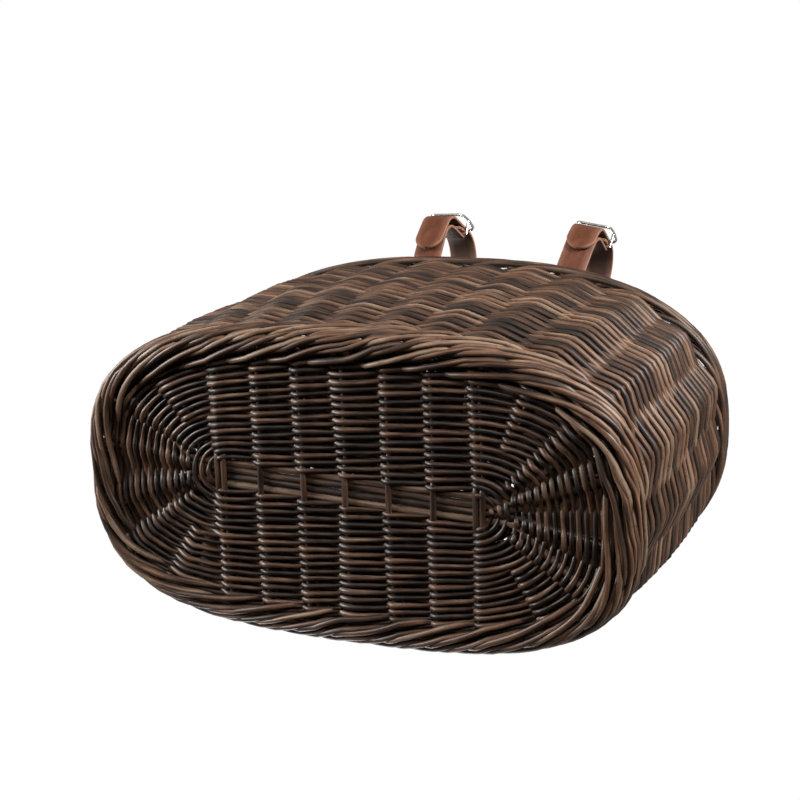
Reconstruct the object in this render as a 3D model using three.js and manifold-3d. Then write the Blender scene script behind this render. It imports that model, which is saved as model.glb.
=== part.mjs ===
// Oval wicker bicycle basket with two leather handlebar straps.
// Millimetres, +Z up, +X along the basket, +Y towards the handlebar side.
import * as THREE from 'three';
import { mergeVertices } from 'three/addons/utils/BufferGeometryUtils.js';
import Module from 'manifold-3d';

const wasm = await Module();
wasm.setup();

// Outer outline of the woven wall, an oval at the base and another at the rim.
const BASE_LENGTH = 354;
const BASE_WIDTH = 190;
const BASE_SQUARENESS = 3.0; // exponent of the oval, 2 is a plain ellipse
const RIM_LENGTH = 358;
const RIM_WIDTH = 210;
const RIM_SQUARENESS = 2.55;
const BELLY = 6; // how far the wall bows out at mid height
const HEIGHT = 224;

// Willow: upright stakes, wall strands and base sticks.
const STAKE_RADIUS = 2.2;
const SIDE_STAKES = 7; // on each long side
const END_STAKES = 6; // round each end
const BASE_STAKE_PITCH = 28; // along the long sides, at the base
const RIM_STAKE_PITCH = 34; // the stakes fan out towards the rim
const RIM_LEAD = 13; // the stakes lean round with the lay of the weave
const STRAND_THICKNESS = 3.2;
const STRAND_HEIGHT = 4.4;
const STRAND_PASSES = 110; // stakes that one wall strand passes, about four rounds
const STRAND_START = 16; // stake of the front wall where the weave starts
const STRAND_END = 0.05; // of a bay, from a stake to the strand's end beside it
const WALL_COURSES = 8; // strands, one above the other
const WALE_HEIGHT = 14;
const WALE_ROUNDS = 2;
const WEAVE_CLEARANCE = 0.7; // between a strand and the stake it passes
const COURSE_GAP = 0.4; // between one course and the next
const BORDER_CLEARANCE = 0.8; // between the bent over stake tops

// Base: four long sticks threaded through split cross sticks.
const BASE_LEVEL = 9; // height of the sticks' centre lines
const STICK_WIDTH = 3.5;
const LONG_STICKS = 4;
const LONG_STICK_PITCH = 4.2;
const SPLIT_CLEARANCE = 0.35; // round the long sticks in the split
const SPLIT_CHEEK = 1.5; // wood above and below the split
const SPLIT_SHOULDER = 3; // solid wood past each end of the split
const CROSS_TAPER = 2; // length over which the split swelling dies out
const TWIN_GAP = 0.7; // between the doubled outermost cross sticks
const BASE_STRAND_THICKNESS = 2.6;
const BASE_STRAND_WAIST = 1.5;
const BASE_CLEARANCE = 0.8;
const BASE_COURSES = 3;
const SLATH_END_GAP = 17; // from the last cross stick to the fan of the long sticks

// Foot: a wale wound round the corner where the stakes turn up.
const FOOT_REACH = 16; // how far the foot runs in under the base
const FOOT_HEIGHT = 20;
const FOOT_WALL = 3.8;
const FOOT_EDGE = 1; // bevel of the foot's square edges
const FOOT_ROUND = 4; // rounding of its outer bottom edge
const FOOT_GROOVE = 0.9; // between two rolls on its outside
const TURN_RADIUS = 8; // bend of a stake from the base into the wall
const STICK_END = 12; // the base sticks stop this far inside the wall
const STAKE_FOOT = 10.5; // the stakes start this far in, next to the sticks' ends

// Leather straps, each a loop round the border and the handlebar.
const STRAP_WIDTH = 20;
const STRAP_THICKNESS = 2;
const STRAP_PLACES = [2.55, 5.5]; // counted in stakes along the handlebar side
const BORDER_ROOM = 7.8; // inner radius of the loop round the border
const BEND_ROOM = 12.5; // inner radius of the lower and the upper bend
const BEND_OUT = 9.5; // lower bend's centre, outwards from the border
const BEND_UP = 15; // lower bend's centre, up from the border
const BUCKLE_RUN = 34; // straight run between the bends
const TIP_ANGLE = -15; // degrees, where the tip leaves the lower bend
const TIP_LENGTHS = [24, 14]; // straight end of the tip, one for each strap
const HOLE_RADIUS = 1.6;
const HOLE_ANGLES = [14, 117]; // degrees, holes on the lower and the upper bend
const SLOT_ALLOWANCE = 1.4; // end to end play of the tongue in its hole
const LAYER_GAP = 0.4; // between two layers of leather

// Buckle: wire frame with a middle bar that carries the tongue.
const BUCKLE_ANGLE = 30; // degrees above the horizontal, seen from the handlebar
const WIRE_RADIUS = 1;
const BUCKLE_HALF = 13; // middle bar to each outer bar
const BUCKLE_ARCH = 2.4; // rise of the side arms over the outer bars
const BAR_PLAY = 0.8; // outer bars over the strap
const SIDE_PLAY = 0.8; // side arms past the strap's edges
const EYE_PLAY = 0.3; // leather and tongue round the middle bar
const TONGUE_RADIUS = 0.9;
const TONGUE_WIDTH = 3.4; // of the ring that turns on the middle bar
const TONGUE_RING = 1.1;
const TONGUE_OVERHANG = 2; // past the outer bar it rests on
const NOTCH_PLAY = 0.5; // notch in the fold, past each side of the tongue
const FOLD_TAIL = 8; // leather turned back past the middle bar

const STAKES = 2 * (SIDE_STAKES + END_STAKES);
const WALL_HALF = STAKE_RADIUS + WEAVE_CLEARANCE + STRAND_THICKNESS;
const BORDER_STEP = 2 * STAKE_RADIUS + BORDER_CLEARANCE;
const BORDER_TOP = HEIGHT - STAKE_RADIUS;
const BORDER_MIDDLE = BORDER_TOP - BORDER_STEP;
const STRAP_REACH = BORDER_ROOM + STRAP_THICKNESS;
const SWING_ROOM = 2;
const WALE_TOP = BORDER_MIDDLE - STRAP_REACH - SWING_ROOM;
const WEAVE_BOTTOM = FOOT_HEIGHT + COURSE_GAP;
const WEAVE_TOP = WALE_TOP - WALE_HEIGHT - COURSE_GAP;

const basket = new THREE.Group();

function addPiece(parent, name, geometry, material) {
  const mesh = new THREE.Mesh(geometry, material.clone());
  mesh.name = name;
  parent.add(mesh);
  return mesh;
}

function willow(color) {
  return new THREE.MeshStandardMaterial({ color, roughness: 0.5, metalness: 0 });
}

const stakeWillow = willow(0x4a3024);
const strandWillow = willow(0x5a3a2a);
const waleWillow = willow(0x50301f);
const stickWillow = willow(0x3a2a24);
const leather = new THREE.MeshStandardMaterial({ color: 0x7a4228, roughness: 0.55, metalness: 0 });
const nickel = new THREE.MeshStandardMaterial({ color: 0xc9c6c2, roughness: 0.2, metalness: 1 });

// Oval that the stakes stand on at height z, inside the outer outline.
function stakeOval(z) {
  const t = z / HEIGHT;
  const bow = BELLY * 4 * t * (1 - t) - WALL_HALF;
  return {
    a: THREE.MathUtils.lerp(BASE_LENGTH, RIM_LENGTH, t) / 2 + bow,
    b: THREE.MathUtils.lerp(BASE_WIDTH, RIM_WIDTH, t) / 2 + bow,
    n: THREE.MathUtils.lerp(BASE_SQUARENESS, RIM_SQUARENESS, t),
  };
}

function signedPower(value, power) {
  return Math.sign(value) * Math.abs(value) ** power;
}

function ovalPoint(oval, angle) {
  return new THREE.Vector2(
    oval.a * signedPower(Math.cos(angle), 2 / oval.n),
    oval.b * signedPower(Math.sin(angle), 2 / oval.n),
  );
}

function ovalNormal(oval, point) {
  return new THREE.Vector2(
    signedPower(point.x / oval.a, oval.n - 1) / oval.a,
    signedPower(point.y / oval.b, oval.n - 1) / oval.b,
  ).normalize();
}

// Angles of the stakes on one oval, evenly spaced by length along each side and
// round each end, starting on the handlebar side at the +X end.
function stakeAngles(oval, pitch, lead) {
  const samples = 1440;
  const lengths = [0];
  let last = ovalPoint(oval, 0);
  for (let k = 1; k <= samples; k += 1) {
    const next = ovalPoint(oval, (2 * Math.PI * k) / samples);
    lengths.push(lengths[k - 1] + next.distanceTo(last));
    last = next;
  }
  const total = lengths[samples];
  const angleAt = (length) => {
    const turns = Math.floor(length / total);
    const rest = length - turns * total;
    let k = 1;
    while (lengths[k] < rest) k += 1;
    const part = (rest - lengths[k - 1]) / (lengths[k] - lengths[k - 1]);
    return 2 * Math.PI * (turns + (k - 1 + part) / samples);
  };
  const sideSpan = (SIDE_STAKES - 1) * pitch;
  const endGap = (total / 2 - sideSpan) / (END_STAKES + 1);
  const angles = [];
  for (let half = 0; half < 2; half += 1) {
    const start = total / 4 + (half * total) / 2 - sideSpan / 2 - lead;
    for (let k = 0; k < SIDE_STAKES; k += 1) angles.push(angleAt(start + k * pitch));
    for (let k = 1; k <= END_STAKES; k += 1) angles.push(angleAt(start + sideSpan + k * endGap));
  }
  return angles;
}

const stickBeside = STICK_WIDTH / 2 + STAKE_RADIUS + WEAVE_CLEARANCE;
const baseAngles = stakeAngles(stakeOval(0), BASE_STAKE_PITCH, stickBeside);
const rimAngles = stakeAngles(stakeOval(HEIGHT), RIM_STAKE_PITCH, RIM_LEAD);

function angleOf(angles, station) {
  const whole = Math.floor(station);
  const wrap = (k) => {
    const turns = Math.floor(k / STAKES);
    return angles[k - turns * STAKES] + 2 * Math.PI * turns;
  };
  return THREE.MathUtils.lerp(wrap(whole), wrap(whole + 1), station - whole);
}

// Point on the stake line at a station (stakes are whole numbers) and height z,
// moved outwards, square to the wall in plan.
function wallPoint(station, z, outwards) {
  const oval = stakeOval(z);
  const angle = THREE.MathUtils.lerp(
    angleOf(baseAngles, station),
    angleOf(rimAngles, station),
    THREE.MathUtils.clamp(z / HEIGHT, 0, 1),
  );
  const point = ovalPoint(oval, angle);
  point.addScaledVector(ovalNormal(oval, point), outwards);
  return new THREE.Vector3(point.x, point.y, z);
}

// Closed ring lofted through one closed profile at each station.
function loftRing(profiles) {
  const rings = profiles.length;
  const points = profiles[0].length;
  const positions = profiles.flat().flatMap((p) => [p.x, p.y, p.z]);
  const index = [];
  for (let r = 0; r < rings; r += 1) {
    for (let p = 0; p < points; p += 1) {
      const a = r * points + p;
      const b = r * points + ((p + 1) % points);
      const c = ((r + 1) % rings) * points + ((p + 1) % points);
      const d = ((r + 1) % rings) * points + p;
      index.push(a, b, c, a, c, d);
    }
  }
  const geometry = new THREE.BufferGeometry();
  geometry.setAttribute('position', new THREE.Float32BufferAttribute(positions, 3));
  geometry.setIndex(index);
  geometry.computeVertexNormals();
  return geometry;
}

// Rod along a curve, with one ring of corners at each given point.
class RodPath extends THREE.CatmullRomCurve3 {
  getUtoTmapping(u) {
    return u;
  }
}

function roundSection(radius, sides) {
  const corners = [];
  for (let k = 0; k < sides; k += 1) {
    const angle = (2 * Math.PI * k) / sides;
    corners.push(new THREE.Vector2(radius * Math.cos(angle), radius * Math.sin(angle)));
  }
  return new THREE.Shape(corners);
}

function rod(points, radius, sides = 6) {
  return new THREE.ExtrudeGeometry(roundSection(radius, sides), {
    steps: points.length - 1,
    extrudePath: new RodPath(points),
  });
}

function toSolid(geometry) {
  const bare = geometry.clone();
  bare.deleteAttribute('normal');
  bare.deleteAttribute('uv');
  const merged = mergeVertices(bare, 1e-4);
  return new wasm.Manifold(new wasm.Mesh({
    numProp: 3,
    vertProperties: new Float32Array(merged.attributes.position.array),
    triVerts: new Uint32Array(merged.index.array),
  }));
}

function fromSolid(solid) {
  const mesh = solid.getMesh();
  const geometry = new THREE.BufferGeometry();
  geometry.setAttribute('position', new THREE.Float32BufferAttribute(mesh.vertProperties, 3));
  geometry.setIndex(new THREE.Uint32BufferAttribute(mesh.triVerts, 1));
  geometry.computeVertexNormals();
  return geometry;
}

// Levels of a course across its strands, thin between strands and full on each one.
function strandLevels(from, to, strands, full, waist) {
  const levels = [];
  for (let k = 0; k <= 2 * strands; k += 1) {
    levels.push({
      at: THREE.MathUtils.lerp(from, to, k / (2 * strands)),
      half: (k % 2 ? full : waist) / 2,
    });
  }
  return levels;
}

// Strand lofted through three corners at each ring, with a cap at both ends.
function loftStrand(rings) {
  const corners = 3;
  const positions = rings.flat().flatMap((p) => [p.x, p.y, p.z]);
  const index = [0, 2, 1];
  for (let r = 0; r < rings.length - 1; r += 1) {
    for (let p = 0; p < corners; p += 1) {
      const next = (p + 1) % corners;
      const a = r * corners;
      const b = a + corners;
      index.push(a + p, a + next, b + next, a + p, b + next, b + p);
    }
  }
  const last = (rings.length - 1) * corners;
  index.push(last, last + 1, last + 2);
  const geometry = new THREE.BufferGeometry();
  geometry.setAttribute('position', new THREE.Float32BufferAttribute(positions, 3));
  geometry.setIndex(index);
  geometry.computeVertexNormals();
  return geometry;
}

// One strand wound up the wall, past the stakes from first to last. It goes in front
// of the stakes that inFront picks and behind the rest.
function woundStrand(first, last, low, high, inFront) {
  const offset = WALL_HALF - STRAND_THICKNESS / 2;
  const half = STRAND_THICKNESS / 2;
  const rings = [];
  for (let pass = first; pass <= last; pass += 1) {
    const z = THREE.MathUtils.lerp(low, high, (pass - first) / (last - first));
    const out = inFront(pass) ? offset : -offset;
    let station = pass + STRAND_START;
    if (pass === first) station += STRAND_END;
    if (pass === last) station -= STRAND_END;
    rings.push([
      wallPoint(station, z, out + half),
      wallPoint(station, z - STRAND_HEIGHT / 2, out - half),
      wallPoint(station, z + STRAND_HEIGHT / 2, out - half),
    ]);
  }
  return loftStrand(rings);
}

// A stake: lies beside its base stick, turns up the wall, bends over at the rim,
// passes behind the next stake and in front of the one after that.
function stake(k) {
  const turnMiddle = TURN_RADIUS * Math.SQRT1_2;
  const points = [
    wallPoint(k, BASE_LEVEL, -STAKE_FOOT),
    wallPoint(k, BASE_LEVEL + TURN_RADIUS - turnMiddle, turnMiddle - TURN_RADIUS),
    wallPoint(k, BASE_LEVEL + TURN_RADIUS, 0),
  ];
  const wallFrom = BASE_LEVEL + TURN_RADIUS;
  const wallTo = BORDER_TOP - 2 * STAKE_RADIUS;
  const wallSteps = 4;
  for (let step = 1; step <= wallSteps; step += 1) {
    points.push(wallPoint(k, THREE.MathUtils.lerp(wallFrom, wallTo, step / wallSteps), 0));
  }
  const over = (along) => {
    const drop = BORDER_STEP * along;
    const out = along < 1 ? -along : 2 * along - 3;
    return wallPoint(k + along, BORDER_TOP - drop, BORDER_STEP * Math.min(out, 1));
  };
  points.push(wallPoint(k + 0.04, BORDER_TOP - STAKE_RADIUS * 0.6, 0));
  for (const along of [0.15, 0.6, 1, 1.5, 2.05]) points.push(over(along));
  return rod(points, STAKE_RADIUS, 5);
}

for (let k = 0; k < STAKES; k += 1) {
  addPiece(basket, `side_stake_${k + 1}`, stake(k), stakeWillow);
}

// Wall: each strand goes on where the last one stopped. The stakes are even in number,
// so once a round it passes two of them on the same side.
const strandRise = (WEAVE_TOP - WEAVE_BOTTOM - STRAND_HEIGHT) / WALL_COURSES;
for (let k = 0; k < WALL_COURSES; k += 1) {
  const low = WEAVE_BOTTOM + STRAND_HEIGHT / 2 + k * strandRise;
  const first = k * STRAND_PASSES;
  const everyOther = (pass) => (pass + Math.floor(pass / STAKES)) % 2 === 0;
  const course = woundStrand(first, first + STRAND_PASSES, low, low + strandRise, everyOther);
  addPiece(basket, `wall_course_${k + 1}`, course, strandWillow);
}

// Rim wale: longer strokes, in front of two stakes and behind the third.
const waleLow = WALE_TOP - WALE_HEIGHT + STRAND_HEIGHT / 2;
const waleHigh = WALE_TOP - STRAND_HEIGHT / 2;
const rimWale = woundStrand(0, WALE_ROUNDS * STAKES, waleLow, waleHigh, (pass) => pass % 3 !== 2);
addPiece(basket, 'rim_wale', rimWale, waleWillow);

// Foot wale: hugs the outside of the turned stakes and runs in under their ends.
function footProfile(station) {
  const inner = TURN_RADIUS + STAKE_RADIUS + WEAVE_CLEARANCE;
  const turnHeight = BASE_LEVEL + TURN_RADIUS;
  const outer = STAKE_RADIUS + WEAVE_CLEARANCE + FOOT_WALL;
  const profile = [];
  const put = (outwards, z) => profile.push(wallPoint(station, z, outwards));
  put(-FOOT_REACH, turnHeight - inner);
  put(-FOOT_REACH, FOOT_EDGE);
  put(FOOT_EDGE - FOOT_REACH, 0);
  put(outer - FOOT_ROUND, 0);
  put(outer - FOOT_ROUND / 4, FOOT_ROUND * 0.4);
  put(outer, FOOT_ROUND);
  const rolls = 2;
  for (let k = 1; k <= 2 * rolls; k += 1) {
    const z = THREE.MathUtils.lerp(FOOT_ROUND, FOOT_HEIGHT - FOOT_EDGE, k / (2 * rolls));
    put(k % 2 ? outer - FOOT_GROOVE : outer, z);
  }
  put(outer - FOOT_EDGE, FOOT_HEIGHT);
  put(inner - TURN_RADIUS, FOOT_HEIGHT);
  for (const degrees of [0, -45, -90]) {
    const angle = THREE.MathUtils.degToRad(degrees);
    put(inner * Math.cos(angle) - TURN_RADIUS, turnHeight + inner * Math.sin(angle));
  }
  return profile;
}

const footProfiles = [];
for (let k = 0; k < STAKES; k += 1) {
  footProfiles.push(footProfile(k).reverse());
  const roundTheEnd = k % (SIDE_STAKES + END_STAKES) >= SIDE_STAKES - 1;
  if (roundTheEnd) footProfiles.push(footProfile(k + 0.5).reverse());
}
addPiece(basket, 'foot_wale', loftRing(footProfiles), waleWillow);

// Oval of the base weave's outer edge, just inside the foot.
function insetOval(inset) {
  const oval = stakeOval(BASE_LEVEL);
  return { a: oval.a - inset, b: oval.b - inset, n: oval.n };
}

function sideEdge(x, inset) {
  const oval = insetOval(inset);
  return oval.b * (1 - Math.abs(x / oval.a) ** oval.n) ** (1 / oval.n);
}

const splitHalfLength = ((LONG_STICKS - 1) * LONG_STICK_PITCH + STICK_WIDTH) / 2 + SPLIT_CLEARANCE;
const splitHalfHeight = STICK_WIDTH / 2 + SPLIT_CLEARANCE;
const shoulder = splitHalfLength + SPLIT_SHOULDER;

// Cross stick: a rod split in the middle, with the long sticks through the split.
function crossStick(x) {
  const end = sideEdge(x, STICK_END);
  const thin = STICK_WIDTH / 2;
  const thick = splitHalfHeight + SPLIT_CHEEK;
  const edge = [[end, thin], [shoulder + CROSS_TAPER, thin], [splitHalfLength, thick]];
  const upper = [...edge, ...edge.map(([y, z]) => [-y, z]).reverse()];
  const lower = upper.map(([y, z]) => [-y, -z]);
  const outline = [...upper, ...lower].map(([y, z]) => new THREE.Vector2(y, z));
  const shape = new THREE.Shape(outline);
  const split = [
    [splitHalfLength, splitHalfHeight], [splitHalfLength + SPLIT_SHOULDER / 2, 0],
    [splitHalfLength, -splitHalfHeight], [-splitHalfLength, -splitHalfHeight],
    [-splitHalfLength - SPLIT_SHOULDER / 2, 0], [-splitHalfLength, splitHalfHeight],
  ];
  shape.holes.push(new THREE.Path(split.map(([y, z]) => new THREE.Vector2(y, z))));
  const geometry = new THREE.ExtrudeGeometry(shape, { depth: STICK_WIDTH, bevelEnabled: false });
  geometry.translate(0, 0, -STICK_WIDTH / 2);
  return geometry;
}

const crossStations = [];
for (let k = 0; k < SIDE_STAKES; k += 1) {
  const x = (k - (SIDE_STAKES - 1) / 2) * BASE_STAKE_PITCH;
  const twin = k === 0 || k === SIDE_STAKES - 1;
  const half = (STICK_WIDTH + TWIN_GAP) / 2;
  crossStations.push(twin ? [x - half, x + half] : [x]);
}
crossStations.flat().forEach((x, k) => {
  const stick = addPiece(basket, `base_cross_stick_${k + 1}`, crossStick(x), stickWillow);
  stick.rotation.set(Math.PI / 2, 0, Math.PI / 2, 'ZYX');
  stick.position.set(x, 0, BASE_LEVEL);
});

// Long sticks: side by side through the splits, then fanned out to both ends.
const fanStart = ((SIDE_STAKES - 1) / 2) * BASE_STAKE_PITCH + STICK_WIDTH + SLATH_END_GAP;
const beside = 0.11; // of a bay, so that each end lies next to a stake
function fanEnd(stickIndex, end, inset) {
  const middle = SIDE_STAKES + (END_STAKES - 1) / 2;
  const first = middle - (LONG_STICKS - 1) / 2;
  const place = end < 0 ? first + stickIndex : first + LONG_STICKS - 1 - stickIndex;
  const turn = end < 0 ? 0 : STAKES / 2;
  return wallPoint(place + turn + beside, BASE_LEVEL, -inset);
}

function stickOffset(stickIndex) {
  return ((LONG_STICKS - 1) / 2 - stickIndex) * LONG_STICK_PITCH;
}

for (let k = 0; k < LONG_STICKS; k += 1) {
  const y = stickOffset(k);
  const half = (end) => {
    const start = new THREE.Vector3(end * fanStart, y, BASE_LEVEL);
    const stop = fanEnd(k, end, STICK_END);
    return [
      new THREE.Vector3(end * (fanStart - SLATH_END_GAP), y, BASE_LEVEL),
      start,
      start.clone().lerp(stop, 0.3),
      start.clone().lerp(stop, 0.65),
      stop,
    ];
  };
  const points = [...half(-1).reverse(), new THREE.Vector3(0, y, BASE_LEVEL), ...half(1)];
  addPiece(basket, `base_long_stick_${k + 1}`, rod(points, STICK_WIDTH / 2), stickWillow);
}

// Base weave: courses that go round the sticks, over one and under the next.
const weaveInset = FOOT_REACH + 2 * COURSE_GAP;
const baseSpokes = [];
function addCrossSpokes(side) {
  const order = side > 0 ? [...crossStations].reverse() : crossStations;
  for (const group of order) {
    const xs = side > 0 ? [...group].reverse() : group;
    baseSpokes.push(xs.map((x) => ({
      inner: new THREE.Vector2(x, side * (shoulder + CROSS_TAPER)),
      outer: new THREE.Vector2(x, side * sideEdge(x, weaveInset)),
    })));
  }
}
function addFanSpokes(end) {
  for (let k = 0; k < LONG_STICKS; k += 1) {
    const index = end < 0 ? k : LONG_STICKS - 1 - k;
    const outer = fanEnd(index, end, weaveInset);
    baseSpokes.push([{
      inner: new THREE.Vector2(end * fanStart, stickOffset(index)),
      outer: new THREE.Vector2(outer.x, outer.y),
    }]);
  }
}
addCrossSpokes(1);
addFanSpokes(-1);
addCrossSpokes(-1);
addFanSpokes(1);

function baseCourse(from, to, bundled, parity) {
  const levels = strandLevels(from, to, 2, BASE_STRAND_THICKNESS, BASE_STRAND_WAIST);
  const offset = STICK_WIDTH / 2 + BASE_CLEARANCE + BASE_STRAND_THICKNESS / 2;
  const profiles = [];
  let group = parity;
  let lastWasFan = false;
  baseSpokes.forEach((spoke, k) => {
    const fan = k % (SIDE_STAKES + LONG_STICKS) >= SIDE_STAKES;
    if (!(bundled && fan && lastWasFan)) group += 1;
    lastWasFan = fan;
    const height = BASE_LEVEL + (group % 2 ? offset : -offset);
    for (const stick of spoke) {
      const put = (level, side) => {
        const plan = stick.inner.clone().lerp(stick.outer, level.at);
        return new THREE.Vector3(plan.x, plan.y, height + side * level.half);
      };
      const over = levels.map((level) => put(level, 1));
      const under = levels.map((level) => put(level, -1)).reverse();
      profiles.push([...over, ...under]);
    }
  });
  return loftRing(profiles);
}

for (let k = 0; k < BASE_COURSES; k += 1) {
  const from = 0.01 + (0.99 * k) / BASE_COURSES;
  const to = (0.99 * (k + 1)) / BASE_COURSES;
  addPiece(basket, `base_course_${k + 1}`, baseCourse(from, to, k === 0, k), strandWillow);
}

// Straps. Each is drawn in a plane square to the wall: x outwards, y up, with the
// border's middle at the origin, and extruded across the strap's width.
const halfLeather = STRAP_THICKNESS / 2;
const borderRadius = BORDER_ROOM + halfLeather;
const bendRadius = BEND_ROOM + halfLeather;
const borderCentre = new THREE.Vector2();
const lowerBend = new THREE.Vector2(BEND_OUT, BEND_UP);
const buckleTurn = THREE.MathUtils.degToRad(BUCKLE_ANGLE);
const runDirection = new THREE.Vector2(Math.sin(buckleTurn), -Math.cos(buckleTurn));
const loopMiddle = lowerBend.clone().addScaledVector(runDirection, -BUCKLE_RUN / 2);
const upperBend = lowerBend.clone().addScaledVector(runDirection, -BUCKLE_RUN);
const tipTurn = THREE.MathUtils.degToRad(TIP_ANGLE);
const holeTurns = HOLE_ANGLES.map((angle) => THREE.MathUtils.degToRad(angle));
const eyeRadius = WIRE_RADIUS + EYE_PLAY + halfLeather;
const middleBarHeight = bendRadius + eyeRadius;
const freeHeight = middleBarHeight + eyeRadius + STRAP_THICKNESS + LAYER_GAP;
const outerBarHeight = freeHeight + halfLeather + BAR_PLAY + WIRE_RADIUS;
const tongueRest = WIRE_RADIUS + BAR_PLAY + TONGUE_RADIUS;
const barRise = outerBarHeight - middleBarHeight;
const restAngle = Math.asin(tongueRest / Math.hypot(BUCKLE_HALF, barRise));
const tongueAngle = Math.atan2(barRise, BUCKLE_HALF) + restAngle;
const tonguePass = (freeHeight - middleBarHeight) / Math.tan(tongueAngle);
const tongueHalfCut = (halfLeather + TONGUE_RADIUS / Math.cos(tongueAngle)) / Math.tan(tongueAngle);
const slotHalf = tongueHalfCut + SLOT_ALLOWANCE / 2;

// Buckle coordinates: x along the strap towards its tip, y out from the handlebar.
function bucklePoint(along, height) {
  const turn = buckleTurn - Math.PI / 2;
  return new THREE.Vector2(along, height).rotateAround(borderCentre, turn).add(loopMiddle);
}

// Sets a shape drawn like the buckle at another middle, facing another way.
function place(geometry, middle, turn) {
  geometry.rotateZ(turn - Math.PI / 2);
  geometry.translate(middle.x, middle.y, 0);
  return toSolid(geometry);
}

function arcPoints(centre, radius, from, to, steps) {
  const points = [];
  for (let k = 0; k <= steps; k += 1) {
    const angle = THREE.MathUtils.lerp(from, to, k / steps);
    const spoke = new THREE.Vector2(Math.cos(angle), Math.sin(angle));
    points.push(spoke.multiplyScalar(radius).add(centre));
  }
  return points;
}

// Strip of leather along a line, as an outline to extrude.
function stripShape(line) {
  const normals = line.map((point, k) => {
    const before = line[Math.max(k - 1, 0)];
    const after = line[Math.min(k + 1, line.length - 1)];
    const along = after.clone().sub(before).normalize();
    return new THREE.Vector2(-along.y, along.x);
  });
  const left = line.map((point, k) => point.clone().addScaledVector(normals[k], halfLeather));
  const right = line.map((point, k) => point.clone().addScaledVector(normals[k], -halfLeather));
  return new THREE.Shape([...left, ...right.reverse()]);
}

// Angle at which the strap leaves the border for a bend, outside (-1) or inside (1).
function touchAngle(bend, side) {
  return bend.angle() + side * Math.acos((borderRadius - bendRadius) / bend.length());
}

// The strap starts folded round the middle bar, runs round the lower bend, in under
// the border, up the inside, round the upper bend and through the buckle.
function strapLine(tipLength) {
  const bar = bucklePoint(0, middleBarHeight);
  const foldEnd = bucklePoint(FOLD_TAIL, middleBarHeight + eyeRadius - WIRE_RADIUS);
  const fold = arcPoints(bar, eyeRadius, buckleTurn, buckleTurn + Math.PI, 5);
  const outside = touchAngle(lowerBend, -1);
  const inside = touchAngle(upperBend, 1);
  const near = arcPoints(lowerBend, bendRadius, buckleTurn, outside, 5);
  const round = arcPoints(borderCentre, borderRadius, outside, inside - 2 * Math.PI, 6);
  const far = arcPoints(upperBend, bendRadius, inside, holeTurns[1] - 0.17, 4);
  const start = far[far.length - 1];
  const ahead = start.clone().sub(far[far.length - 2]).setLength(STRAP_WIDTH / 2);
  const rise = new THREE.CubicBezierCurve(
    start,
    start.clone().add(ahead),
    bucklePoint(-slotHalf - tonguePass - STRAP_WIDTH / 2, freeHeight),
    bucklePoint(-slotHalf - tonguePass, freeHeight),
  );
  const tip = arcPoints(lowerBend, freeHeight, buckleTurn, tipTurn, 4);
  const tipWay = new THREE.Vector2(Math.sin(tipTurn), -Math.cos(tipTurn));
  const tipEnd = tip[tip.length - 1].clone().addScaledVector(tipWay, tipLength);
  return [foldEnd, ...fold, ...near, ...round, ...far, ...rise.getPoints(5).slice(1), ...tip, tipEnd];
}

// Cutters for the free end of the strap, square to the leather.
function flatCutter(shape, middle, turn) {
  const cutter = new THREE.ExtrudeGeometry(shape, {
    depth: 2 * STRAP_THICKNESS,
    bevelEnabled: false,
    curveSegments: 4,
  });
  cutter.rotateX(-Math.PI / 2);
  cutter.translate(0, freeHeight - STRAP_THICKNESS, 0);
  return place(cutter, middle, turn);
}

function slotCutter() {
  const radius = TONGUE_WIDTH / 2;
  const slot = new THREE.Shape();
  slot.absarc(-tonguePass + slotHalf - radius, 0, radius, -Math.PI / 2, Math.PI / 2);
  slot.absarc(-tonguePass - slotHalf + radius, 0, radius, Math.PI / 2, 1.5 * Math.PI);
  return flatCutter(slot, loopMiddle, buckleTurn);
}

function tipCutter(tipLength) {
  const half = STRAP_WIDTH / 2;
  const centre = tipLength - half;
  const spare = half + STRAP_THICKNESS;
  const corner = new THREE.Shape();
  corner.moveTo(centre + spare, -spare);
  corner.lineTo(centre + spare, spare);
  corner.lineTo(centre, spare);
  corner.absarc(centre, 0, half, Math.PI / 2, -Math.PI / 2, true);
  corner.lineTo(centre, -spare);
  return flatCutter(corner, lowerBend, tipTurn);
}

function roundHole(bend, radius, turn) {
  const drill = new THREE.CylinderGeometry(HOLE_RADIUS, HOLE_RADIUS, 2 * STRAP_THICKNESS, 10);
  drill.translate(0, radius, 0);
  return place(drill, bend, turn);
}

function foldNotch() {
  const low = eyeRadius + halfLeather + EYE_PLAY;
  const clear = WIRE_RADIUS + EYE_PLAY + TONGUE_RING + NOTCH_PLAY;
  const notch = new THREE.BoxGeometry(low + clear, 2 * low, TONGUE_WIDTH + 2 * NOTCH_PLAY);
  notch.translate((clear - low) / 2, middleBarHeight, 0);
  return place(notch, loopMiddle, buckleTurn);
}

function strap(tipLength) {
  const strip = new THREE.ExtrudeGeometry(stripShape(strapLine(tipLength)), {
    depth: STRAP_WIDTH,
    bevelEnabled: false,
  });
  strip.translate(0, 0, -STRAP_WIDTH / 2);
  let solid = toSolid(strip).subtract(tipCutter(tipLength)).subtract(foldNotch()).subtract(slotCutter());
  solid = solid.subtract(roundHole(lowerBend, freeHeight, holeTurns[0]));
  solid = solid.subtract(roundHole(upperBend, bendRadius, holeTurns[1]));
  return fromSolid(solid);
}

// Buckle frame: two outer bars and a middle bar between two arched arms.
const armInner = STRAP_WIDTH / 2 + SIDE_PLAY;
const armOuter = armInner + 2 * WIRE_RADIUS;

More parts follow.
